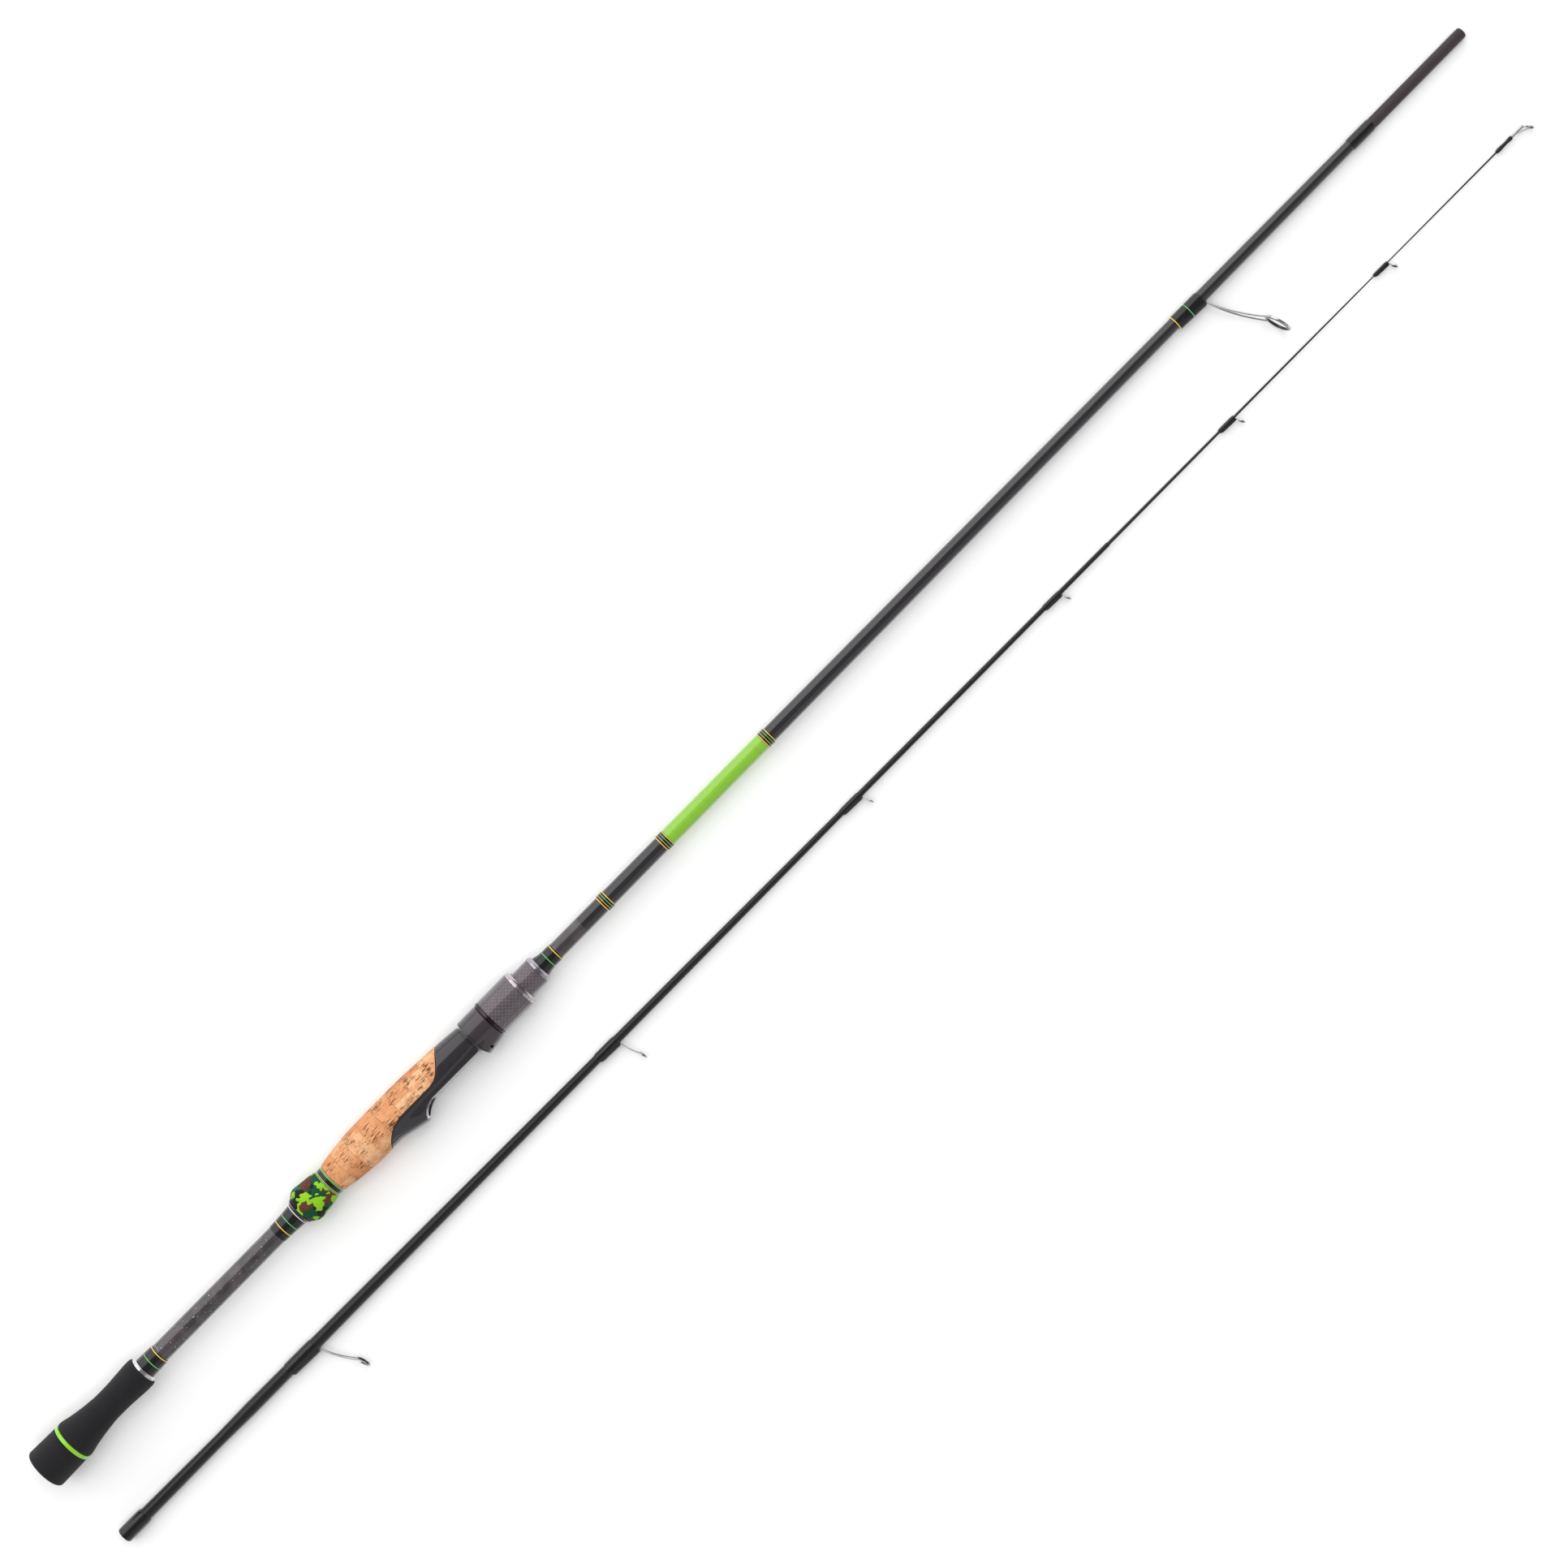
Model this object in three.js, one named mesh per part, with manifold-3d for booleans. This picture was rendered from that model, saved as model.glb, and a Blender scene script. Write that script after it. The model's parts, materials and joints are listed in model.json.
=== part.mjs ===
// A two-piece spinning rod lying on a flat surface: the butt section with its handle, reel seat and
// stripper guide, and the tip section with its running guides laid beside it. Millimetres, +Z up,
// +X from the butt towards the tips, the reel and the guides on the -Y side.

import * as THREE from 'three';
import { mergeVertices } from 'three/addons/utils/BufferGeometryUtils.js';
import Module from 'manifold-3d';

const wasm = await Module();
wasm.setup();

// ---------------------------------------------------------------- driving dimensions

const BUTT_ROUND = 24; // sides of a turned piece on the butt section
const TIP_ROUND = 16; // sides of a turned piece on the tip section
const RING_ROUND = 16; // sides of a guide ring
const BOND = 0.1; // glue line between two fixed pieces
const SLIDE_FIT = 0.3; // clearance between two pieces that move on each other
const CORK_JOINT = 0.25; // glue line between the cork and the seat

const BUTT_LENGTH = 1244;
const TIP_LENGTH = 1231.5;
const TIP_BASE_AHEAD = 2.4; // how far the tip section's base lies ahead of the butt end
const SECTION_GAP = 8.85; // from the stripper ring to the tip section's axis, at its base
const TIP_SPLAY = 0.2; // degrees by which the two sections spread

// Handle pieces, from the butt end forwards.
const CAP_LENGTH = 23;
const CAP_RADIUS = 14.1;
const CAP_END_WALL = 4;
const TRIM_RING_LENGTH = 2.6;
const TRIM_RING_RADIUS = 13.6;
const REAR_GRIP_LENGTH = 60;
const REAR_GRIP_RADIUS = 13.8;
const REAR_GRIP_WAIST = 9.5;
const REAR_CHECK_LENGTH = 2.4;
const REAR_CHECK_RADIUS = 9.1;
const REAR_WRAP_LENGTH = 13;
const BARE_HANDLE_LENGTH = 102;
const FRONT_WRAP_LENGTH = 17;
const CAMO_CHECK_LENGTH = 3;
const CAMO_CHECK_RADIUS = 9.5;
const CAMO_GRIP_LENGTH = 23;
const CAMO_GRIP_RADIUS = 12.6;
const LABEL_BAND_LENGTH = 5.6;
const LABEL_BAND_RADIUS = 10.1;
const CORK_REAR_RADIUS = 10.5;
const CORK_RADIUS = 13.75;

// Reel seat.
const SEAT_START = 37.5; // from the cork's rear end to the seat's rear end
const SEAT_LENGTH = 81;
const ARBOR_WALL = 1.55; // between the handle blank and the seat's bore
const BARREL_WALL = 1.8;
const SEAT_FRONT_STEP = 0.9; // seat's front end, proud of the barrel
const BED_STEP = 0.1; // reel foot bed, proud of the barrel
const HOOD_HEIGHT = 8.3; // fixed hood's lip, off the bed
const HOOD_LIP_AT = 29; // along the seat
const HOOD_MOUTH_LENGTH = 11.5;
const HOOD_RAMP_AT = 9; // where the fixed hood starts to drop from the grip
const HOOD_WALL = 1.6;
const POCKET_LENGTH = 9; // fixed hood's pocket, behind the lip
const POCKET_HALF_WIDTH = 7.6;
const LINER_WALL = 0.8;
const LINER_PROUD = 0.7;
const PALM_LEVEL = 4.2; // the seat's edge along the palm, below the axis
const SEAT_TOP_SHARE = 0.84; // share of the seat's length at which it reaches over the top
const BARREL_LENGTH = 38;
const KEY_WIDTH = 3;
const KEY_HEIGHT = 0.9;
const ARBOR_LENGTH = 12;

// Moving hood, lock nut and fore end.
const SEAT_GAP = 1.5; // between the seat and the moving hood
const SLIDE_HOOD_LENGTH = 15.7;
const SLIDE_HOOD_SHELL = 2.1; // from the hood's bore to its outside
const SLIDE_HOOD_DROP = 3.4; // how far its rear rim bulges over the reel foot
const SLIDE_HOOD_WALL = 0.8;
const SLIDE_HOOD_POCKET = 11;
const HOOD_COUNTERBORE = 5.5;
const NUT_REAR_LENGTH = 2.4;
const NUT_LENGTH = 23.4;
const NUT_WALL = 2.6;
const NUT_FRONT_LENGTH = 3.4;
const FORE_SLEEVE_LENGTH = 21.4;
const FORE_SLEEVE_STEP = 0.3; // fore sleeve, below the barrel
const FORE_CHECK_LENGTH = 3.4;
const FORE_WRAP_LENGTH = 13.5;

// Blanks.
const HANDLE_BLANK_RADIUS = 6.45;
const FORE_BLANK_RADIUS = 5.7;
const MIDDLE_BLANK_RADIUS = 4.84;
const SPIGOT_RADIUS = 3.72;
const SPIGOT_LENGTH = 80;
const SPIGOT_WRAP_LENGTH = 19;
const BUTT_WALL = 1;
const TIP_WALL = 0.6;
const FERRULE_FIT = 0.1; // between the spigot and the tip section's socket
const SOCKET_WRAP_LENGTH = 19;
const TIP_END_RADIUS = 0.6;

// Thread wraps and bands.
const WRAP_WALL = 0.4;
const BAND_LENGTH = 6;
const BAND_STATIONS = [40, 92, 181]; // rear end of each band, ahead of the fore wrap
const PANEL_WALL = 0.2;

// Guides: where each stands as a share of its section's length, its ring's diameter, how far its
// centre is off the blank's axis, how far it stands ahead of its foot, and its foot and wire.
const STRIPPER = {
  share: 0.8143, ring: 18.3, height: 45.3, ahead: 22, lean: 16, foot: 23, wire: 0.8, bow: 0.17, rim: 1.5,
};
const RUNNING_GUIDES = [
  {
    share: 0.1354, ring: 10.4, height: 28.9, ahead: 13.6, lean: 14,
    foot: 23, wire: 0.6, bow: 0.06, rim: 1.1,
  },
  {
    share: 0.3503, ring: 6.8, height: 18.2, ahead: 4.9, lean: 12,
    foot: 17, wire: 0.5, bow: 0.06, rim: 0.8,
  },
  { share: 0.5233, ring: 5.6, height: 7.4, ahead: 2.2, lean: 24, foot: 16, wire: 0.4, bow: 0, rim: 0.7 },
  { share: 0.6659, ring: 5.2, height: 5.7, ahead: 1.6, lean: 24, foot: 14, wire: 0.4, bow: 0, rim: 0.7 },
  { share: 0.7903, ring: 5.2, height: 5.2, ahead: 1.6, lean: 28, foot: 13, wire: 0.4, bow: 0, rim: 0.7 },
  { share: 0.8997, ring: 5.2, height: 4.7, ahead: 1.6, lean: 28, foot: 12, wire: 0.4, bow: 0, rim: 0.7 },
];
const LEG_ANGLE = 50; // degrees from a ring's inner edge to each leg's end
const INSERT_WALL = 0.9; // share of the rim's thickness
const TOP_WRAP_LENGTH = 13.5;
const TOP_TUBE_LENGTH = 15;
const TOP_TUBE_RADIUS = 1.05;
const TOP_RING = 5.6;
const TOP_RING_DEPTH = 3.6;
const TOP_RING_LEAN = 32;
const TOP_RIM = 0.8;
const TOP_STRUT_WIRE = 0.4;
const TOP_STRUT_AT = 8; // along the tiptop's tube
const TOP_STRUT_ANGLE = 100;
const TOP_TUBE_IN_WRAP = 5;

// ---------------------------------------------------------------- sizes that follow from a fit

const SEAT_BORE = HANDLE_BLANK_RADIUS + ARBOR_WALL;
const BARREL_RADIUS = SEAT_BORE + BARREL_WALL;
const SLIDE_BORE = BARREL_RADIUS + SLIDE_FIT;
const SEAT_FRONT_RADIUS = BARREL_RADIUS + SEAT_FRONT_STEP;
const BED_DEPTH = BARREL_RADIUS + BED_STEP; // below the axis
const HOOD_DEPTH = BED_DEPTH + HOOD_HEIGHT; // below the axis
const SLIDE_HOOD_RADIUS = SLIDE_BORE + SLIDE_HOOD_SHELL;
const SLIDE_HOOD_DEPTH = SLIDE_HOOD_RADIUS + SLIDE_HOOD_DROP;
const NUT_RADIUS = SLIDE_BORE + NUT_WALL;
const FORE_SLEEVE_RADIUS = BARREL_RADIUS - FORE_SLEEVE_STEP;
const CORK_LENGTH = SEAT_START + SEAT_LENGTH * SEAT_TOP_SHARE - 1.5;
const TIP_BASE_ASIDE = STRIPPER.height + STRIPPER.ring / 2 + SECTION_GAP;

// ---------------------------------------------------------------- places along the butt section

const trimRingAt = CAP_LENGTH + BOND;
const rearGripAt = trimRingAt + TRIM_RING_LENGTH + BOND;
const rearCheckAt = rearGripAt + REAR_GRIP_LENGTH + BOND;
const rearWrapAt = rearCheckAt + REAR_CHECK_LENGTH + BOND;
const frontWrapAt = rearWrapAt + REAR_WRAP_LENGTH + BARE_HANDLE_LENGTH;
const camoCheckAt = frontWrapAt + FRONT_WRAP_LENGTH + BOND;
const camoGripAt = camoCheckAt + CAMO_CHECK_LENGTH + BOND;
const labelBandAt = camoGripAt + CAMO_GRIP_LENGTH + BOND;
const corkAt = labelBandAt + LABEL_BAND_LENGTH + BOND;
const seatAt = corkAt + SEAT_START;
const seatEnd = seatAt + SEAT_LENGTH;
const slideHoodAt = seatEnd + SEAT_GAP;
const nutRearAt = slideHoodAt + SLIDE_HOOD_LENGTH + SLIDE_FIT;
const nutAt = nutRearAt + NUT_REAR_LENGTH + BOND;
const nutFrontAt = nutAt + NUT_LENGTH + BOND;
const barrelEnd = seatEnd + BARREL_LENGTH;
const foreSleeveAt = barrelEnd + BOND;
const foreCheckAt = foreSleeveAt + FORE_SLEEVE_LENGTH + BOND;
const foreWrapAt = foreCheckAt + FORE_CHECK_LENGTH + BOND;
const foreWrapEnd = foreWrapAt + FORE_WRAP_LENGTH;
const spigotAt = BUTT_LENGTH - SPIGOT_LENGTH;

// Station and radius of each change in a blank's taper.
const BUTT_TAPER = [
  [CAP_END_WALL + BOND, HANDLE_BLANK_RADIUS],
  [camoCheckAt, HANDLE_BLANK_RADIUS],
  [foreWrapEnd, FORE_BLANK_RADIUS],
  [(foreWrapEnd + spigotAt) / 2, MIDDLE_BLANK_RADIUS],
  [spigotAt, SPIGOT_RADIUS],
  [BUTT_LENGTH, SPIGOT_RADIUS],
];

const SOCKET_BORE = SPIGOT_RADIUS + FERRULE_FIT;
const TIP_BASE_RADIUS = SOCKET_BORE + TIP_WALL;
const TIP_TAPER = [
  [0, TIP_BASE_RADIUS],
  [TIP_LENGTH * 0.09, TIP_BASE_RADIUS - 0.1],
  [TIP_LENGTH * 0.29, TIP_BASE_RADIUS * 0.705],
  [TIP_LENGTH * 0.51, TIP_BASE_RADIUS * 0.455],
  [TIP_LENGTH * 0.7, TIP_BASE_RADIUS * 0.325],
  [TIP_LENGTH - TOP_RING, TIP_END_RADIUS],
];

function radiusOn(taper, at) {
  const next = Math.max(1, taper.findIndex(([station]) => station >= at));
  const [x0, r0] = taper[next - 1];
  const [x1, r1] = taper[next];
  return r0 + (r1 - r0) * (at - x0) / (x1 - x0);
}

// ---------------------------------------------------------------- shape helpers

// Signed volume times six: negative when the faces point inwards.
function enclosed(geometry) {
  const flat = geometry.index ? geometry.toNonIndexed() : geometry;
  const position = flat.attributes.position;
  const corner = [new THREE.Vector3(), new THREE.Vector3(), new THREE.Vector3()];
  let sum = 0;
  for (let i = 0; i < position.count; i += 3) {
    corner.forEach((point, k) => point.fromBufferAttribute(position, i + k));
    sum += corner[0].dot(corner[1].cross(corner[2]));
  }
  return sum;
}

function facedOut(geometry) {
  if (enclosed(geometry) < 0) {
    const index = geometry.index.array;
    for (let i = 0; i < index.length; i += 3) {
      [index[i], index[i + 1]] = [index[i + 1], index[i]];
    }
    geometry.computeVertexNormals();
  }
  return geometry;
}

// Turns a profile of [station, radius] corners about the X axis.
function turned(profile, sides = BUTT_ROUND) {
  const points = profile.map(([x, r]) => new THREE.Vector2(r, x));
  const geometry = new THREE.LatheGeometry(points, sides);
  geometry.rotateZ(-Math.PI / 2);
  return facedOut(geometry);
}

// A solid of revolution between the axis and an outline of [station, radius] corners.
function turnedSolid(outline, sides = BUTT_ROUND) {
  const first = outline[0][0];
  const last = outline[outline.length - 1][0];
  return turned([[first, 0], ...outline, [last, 0]], sides);
}

// A tube between an outer outline and an inner one, both of [station, radius] corners.
function turnedTube(outer, inner, sides = BUTT_ROUND) {
  return turned([...outer, ...[...inner].reverse(), outer[0]], sides);
}

// A smooth outline through a few [station, radius] points.
function smooth(points, divisions) {
  const curve = new THREE.SplineCurve(points.map(([x, r]) => new THREE.Vector2(x, r)));
  return curve.getPoints(divisions).map((point) => [point.x, point.y]);
}

// Pushes the underside (-Y) of a turned body down by depth(station), fading out up its sides.
function swellUnderside(geometry, depth) {
  const position = geometry.attributes.position;
  for (let i = 0; i < position.count; i += 1) {
    const y = position.getY(i);
    const radius = Math.hypot(y, position.getZ(i));
    const share = radius > 0 ? THREE.MathUtils.smoothstep(-y / radius, 0.5, 0.9) : 0;
    position.setY(i, y - depth(position.getX(i)) * share);
  }
  return geometry;
}

// A side-view outline (X, Y) given a width across Z, centred on the XY plane.
function sideways(shape, width, curveSegments = 10) {
  const options = { depth: width, bevelEnabled: false, curveSegments };
  const geometry = new THREE.ExtrudeGeometry(shape, options);
  geometry.translate(0, 0, -width / 2);
  return geometry;
}

// An arch below the reel foot bed: flat on the bed, round towards -Y, running along X. Its depth
// changes evenly from one end to the other.
function arch(from, to, halfWidth, depthFrom, depthTo) {
  const shape = new THREE.Shape();
  shape.moveTo(halfWidth, 0);
  shape.absellipse(0, 0, halfWidth, 1, 0, Math.PI, false);
  shape.closePath();
  const options = { depth: to - from, bevelEnabled: false, curveSegments: 7 };
  const geometry = new THREE.ExtrudeGeometry(shape, options);
  geometry.rotateZ(Math.PI);
  geometry.rotateY(Math.PI / 2);
  const position = geometry.attributes.position;
  for (let i = 0; i < position.count; i += 1) {
    const depth = THREE.MathUtils.lerp(depthFrom, depthTo, position.getX(i) / (to - from));
    position.setY(i, position.getY(i) * depth);
  }
  geometry.translate(from, -BED_DEPTH, 0);
  return geometry;
}

function box(x0, x1, y0, y1, z0, z1) {
  const geometry = new THREE.BoxGeometry(x1 - x0, y1 - y0, z1 - z0);
  geometry.translate((x0 + x1) / 2, (y0 + y1) / 2, (z0 + z1) / 2);
  return geometry;
}

// A round wire along a curve.
function wire(path, radius, steps) {
  const section = new THREE.Shape();
  section.absarc(0, 0, radius, 0, 2 * Math.PI, false);
  const options = { steps, bevelEnabled: false, extrudePath: path, curveSegments: 3 };
  return new THREE.ExtrudeGeometry(section, options);
}

function toSolid(geometry) {
  const bare = geometry.clone();
  bare.deleteAttribute('normal');
  bare.deleteAttribute('uv');
  const welded = mergeVertices(bare, 1e-4);
  const corners = welded.index.array;
  const triangles = [];
  for (let i = 0; i < corners.length; i += 3) {
    const [a, b, c] = [corners[i], corners[i + 1], corners[i + 2]];
    if (a !== b && b !== c && c !== a) {
      triangles.push(a, b, c);
    }
  }
  return new wasm.Manifold(new wasm.Mesh({
    numProp: 3,
    vertProperties: new Float32Array(welded.attributes.position.array),
    triVerts: new Uint32Array(triangles),
  }));
}

function toGeometry(solid) {
  const mesh = solid.getMesh();
  const geometry = new THREE.BufferGeometry();
  geometry.setAttribute('position', new THREE.BufferAttribute(new Float32Array(mesh.vertProperties), 3));
  geometry.setIndex(new THREE.BufferAttribute(new Uint32Array(mesh.triVerts), 1));
  geometry.computeVertexNormals();
  return geometry;
}

function joined(...geometries) {
  return toGeometry(geometries.map(toSolid).reduce((all, next) => all.add(next)));
}

function cut(body, ...tools) {
  return toGeometry(tools.map(toSolid).reduce((left, tool) => left.subtract(tool), toSolid(body)));
}

function kept(body, region) {
  return toGeometry(toSolid(body).intersect(toSolid(region)));
}

// ---------------------------------------------------------------- finishes

const finish = {
  foam: { color: 0x242226, roughness: 0.9, metalness: 0 },
  blank: { color: 0x2e2b30, roughness: 0.25, metalness: 0.1 },
  gloss: { color: 0x1c1a1e, roughness: 0.15, metalness: 0 },
  lime: { color: 0x86c62c, roughness: 0.35, metalness: 0 },
  cork: { color: 0xd9a273, roughness: 0.85, metalness: 0 },
  camo: { color: 0x4f7a2e, roughness: 0.6, metalness: 0 },
  weave: { color: 0x4c474d, roughness: 0.3, metalness: 0.2 },
  steel: { color: 0xc8c8cc, roughness: 0.15, metalness: 1 },
  dark: { color: 0x3a3338, roughness: 0.3, metalness: 0.5 },
  ceramic: { color: 0x17171a, roughness: 0.2, metalness: 0 },
};

function piece(parent, name, look, geometry, at = 0) {
  const mesh = new THREE.Mesh(geometry, new THREE.MeshStandardMaterial(finish[look]));
  mesh.name = name;
  mesh.position.x = at;
  parent.add(mesh);
  return mesh;
}

// A ring or wrap glued on a blank: its bore follows the blank, its outline is given from its rear end.
function onBlank(taper, at, outline, sides = BUTT_ROUND) {
  const length = outline[outline.length - 1][0];
  const bore = [0, length].map((x) => [x, radiusOn(taper, at + x) + BOND]);
  return turnedTube(outline, bore, sides);
}

// A thread wrap of even wall with eased ends.
function wrapOutline(taper, at, length, wall = WRAP_WALL) {
  const ease = Math.min(2, length / 4);
  return [
    [0, radiusOn(taper, at) + BOND + wall / 3],
    [ease, radiusOn(taper, at + ease) + BOND + wall],
    [length - ease, radiusOn(taper, at + length - ease) + BOND + wall],
    [length, radiusOn(taper, at + length) + BOND + wall / 3],
  ];
}

// ---------------------------------------------------------------- guides

function ringParts(radius, rim, centre, lean) {
  const place = (geometry) => geometry.rotateZ(lean).translate(centre.x, centre.y, 0);
  const insertOuter = radius - rim / 2 - BOND;
  const insertWall = rim * INSERT_WALL;
  const insertHalf = rim * 0.65;
  const insertProfile = [
    [-insertHalf * 0.7, insertOuter],
    [insertHalf * 0.7, insertOuter],
    [insertHalf, insertOuter - insertWall * 0.4],
    [0, insertOuter - insertWall],
    [-insertHalf, insertOuter - insertWall * 0.4],
    [-insertHalf * 0.7, insertOuter],
  ];
  const edge = radius - rim / 6;
  const inner = radius - rim / 2;
  return {
    disc: place(turnedSolid([[-rim / 2, edge], [0, radius], [rim / 2, edge]], RING_ROUND)),
    bore: place(turnedSolid([[-radius, inner], [radius, inner]], RING_ROUND)),
    insert: place(turned(insertProfile, RING_ROUND)),
  };
}

function guide(parent, name, taper, length, sides, spec) {
  const lean = THREE.MathUtils.degToRad(spec.lean);
  const root = length * spec.share;
  const rear = root - spec.foot;
  const blank = radiusOn(taper, rear) + BOND;
  const thick = spec.wire * 1.8;
  const half = spec.wire * 1.5;
  const centre = new THREE.Vector3(root + spec.ahead, -spec.height, 0);
  const radius = spec.ring / 2;
  const ring = ringParts(radius, spec.rim, centre, lean);

  const heel = rear + Math.min(2, spec.foot / 4);
  const footSide = (extra, ahead) => {
    const shape = new THREE.Shape();
    shape.moveTo(heel - extra, -blank + extra);
    shape.lineTo(root + ahead, -blank + extra);
    shape.lineTo(root + ahead, -blank - thick - extra);
    shape.lineTo(heel - extra, -blank - thick / 3 - extra);
    shape.closePath();
    return sideways(shape, 2 * half + 2 * extra);
  };
  const legs = [-1, 1].map((side) => {
    const angle = THREE.MathUtils.degToRad(LEG_ANGLE);
    const reach = radius - spec.wire * 0.6;
    const heelY = -blank - thick * 0.6;
    const start = new THREE.Vector3(root + spec.wire + BOND, heelY, side * (half - spec.wire));
    const end = new THREE.Vector3(
      centre.x - reach * Math.cos(angle) * Math.sin(lean),
      centre.y + reach * Math.cos(angle) * Math.cos(lean),
      side * reach * Math.sin(angle),
    );
    const middle = start.clone().lerp(end, 0.5);
    middle.x -= spec.bow * start.distanceTo(end);
    return wire(new THREE.QuadraticBezierCurve3(start, middle, end), spec.wire, spec.bow > 0 ? 4 : 1);
  });
  const frame = cut(joined(footSide(0, 2 * spec.wire + BOND), ...legs, ring.disc), ring.bore);

  const wall = WRAP_WALL * (blank > 2.5 ? 1 : 0.7);
  const outline = wrapOutline(taper, rear, spec.foot, wall);
  const ease = outline[1][0];
  const swell = (x) => THREE.MathUtils.smoothstep(x, 0, ease) * (0.5 + 0.5 * x / spec.foot);
  const body = turnedSolid(outline, sides);
  swellUnderside(body, (x) => (thick + wall) * swell(x));
  const bore = turnedSolid([[-1, blank], [spec.foot + 1, radiusOn(taper, root) + BOND]], sides);
  bore.translate(rear, 0, 0);
  body.translate(rear, 0, 0);
  const wrap = cut(body, bore, footSide(BOND, 3 * spec.wire));

  piece(parent, `${name}_wrap`, 'gloss', wrap);
  piece(parent, `${name}_frame`, 'steel', frame);
  piece(parent, `${name}_ring`, 'ceramic', ring.insert);
}

// ---------------------------------------------------------------- butt section

const buttSection = new THREE.Group();

function addBlankAndHandle(parent) {
  const bore = [
    [BUTT_TAPER[0][0], HANDLE_BLANK_RADIUS - BUTT_WALL],
    [camoCheckAt, HANDLE_BLANK_RADIUS - BUTT_WALL],
    [foreWrapEnd, FORE_BLANK_RADIUS - BUTT_WALL],
    [BUTT_LENGTH, SPIGOT_RADIUS - BUTT_WALL],
  ];
  const spigotEnd = [[BUTT_LENGTH - 1, SPIGOT_RADIUS], [BUTT_LENGTH, SPIGOT_RADIUS - 0.5]];
  piece(parent, 'butt_blank', 'blank', turnedTube([...BUTT_TAPER.slice(0, -1), ...spigotEnd], bore));

  const bored = HANDLE_BLANK_RADIUS + BOND;
  piece(parent, 'butt_cap_foam', 'foam', turned([
    [0, 0],
    [0, CAP_RADIUS - 1.2],
    [0.4, CAP_RADIUS - 0.35],
    [1.5, CAP_RADIUS],
    [CAP_LENGTH, TRIM_RING_RADIUS],
    [CAP_LENGTH, bored],
    [CAP_END_WALL, bored],
    [CAP_END_WALL, 0],
  ]));
  piece(parent, 'green_trim_ring', 'lime', onBlank(BUTT_TAPER, trimRingAt, [
    [0, TRIM_RING_RADIUS - 0.3],
    [0.4, TRIM_RING_RADIUS],
    [TRIM_RING_LENGTH - 0.4, TRIM_RING_RADIUS],
    [TRIM_RING_LENGTH, TRIM_RING_RADIUS - 0.3],
  ]), trimRingAt);

  const gripOutline = smooth([
    [0, REAR_GRIP_RADIUS - 0.7],
    [1, REAR_GRIP_RADIUS],
    [REAR_GRIP_LENGTH * 0.15, REAR_GRIP_WAIST + 2.6],
    [REAR_GRIP_LENGTH * 0.33, REAR_GRIP_WAIST + 0.9],
    [REAR_GRIP_LENGTH * 0.54, REAR_GRIP_WAIST],
    [REAR_GRIP_LENGTH * 0.76, REAR_GRIP_WAIST + 0.6],
    [REAR_GRIP_LENGTH - 1.8, REAR_GRIP_WAIST + 1.2],
    [REAR_GRIP_LENGTH, REAR_GRIP_WAIST + 0.3],
  ], 11);
  piece(parent, 'rear_grip_foam', 'foam', onBlank(BUTT_TAPER, rearGripAt, gripOutline), rearGripAt);
  piece(parent, 'rear_check_ring', 'steel', onBlank(BUTT_TAPER, rearCheckAt, [
    [0, REAR_CHECK_RADIUS],
    [REAR_CHECK_LENGTH * 0.4, REAR_CHECK_RADIUS],
    [REAR_CHECK_LENGTH, REAR_CHECK_RADIUS - 1.1],
  ]), rearCheckAt);
  piece(parent, 'rear_handle_wrap', 'gloss', onBlank(BUTT_TAPER, rearWrapAt, [
    [0, HANDLE_BLANK_RADIUS + 1],
    [REAR_WRAP_LENGTH - 2, HANDLE_BLANK_RADIUS + 0.6],
    [REAR_WRAP_LENGTH, HANDLE_BLANK_RADIUS + BOND + 0.1],
  ]), rearWrapAt);
  piece(parent, 'front_handle_wrap', 'gloss', onBlank(BUTT_TAPER, frontWrapAt, [
    [0, HANDLE_BLANK_RADIUS + BOND + 0.1],
    [2, HANDLE_BLANK_RADIUS + 0.3],
    [FRONT_WRAP_LENGTH * 0.5, HANDLE_BLANK_RADIUS + 0.6],
    [FRONT_WRAP_LENGTH, HANDLE_BLANK_RADIUS + 1.25],
  ]), frontWrapAt);
  piece(parent, 'camo_check_ring', 'dark', onBlank(BUTT_TAPER, camoCheckAt, [
    [0, HANDLE_BLANK_RADIUS + 1.5],
    [CAMO_CHECK_LENGTH * 0.3, HANDLE_BLANK_RADIUS + 1.7],
    [CAMO_CHECK_LENGTH, CAMO_CHECK_RADIUS],
  ]), camoCheckAt);
  piece(parent, 'camo_grip', 'camo', onBlank(BUTT_TAPER, camoGripAt, [
    [0, CAMO_CHECK_RADIUS - 0.6],
    [0.8, CAMO_CHECK_RADIUS + 0.2],
    [CAMO_GRIP_LENGTH * 0.2, CAMO_GRIP_RADIUS - 0.3],
    [CAMO_GRIP_LENGTH * 0.26, CAMO_GRIP_RADIUS],
    [CAMO_GRIP_LENGTH * 0.5, CAMO_GRIP_RADIUS - 0.6],
    [CAMO_GRIP_LENGTH - 1, LABEL_BAND_RADIUS + 0.45],
    [CAMO_GRIP_LENGTH, LABEL_BAND_RADIUS],
  ]), camoGripAt);
  piece(parent, 'label_band', 'gloss', onBlank(BUTT_TAPER, labelBandAt, [
    [0, LABEL_BAND_RADIUS],
    [LABEL_BAND_LENGTH, LABEL_BAND_RADIUS],
  ]), labelBandAt);
}

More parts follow.
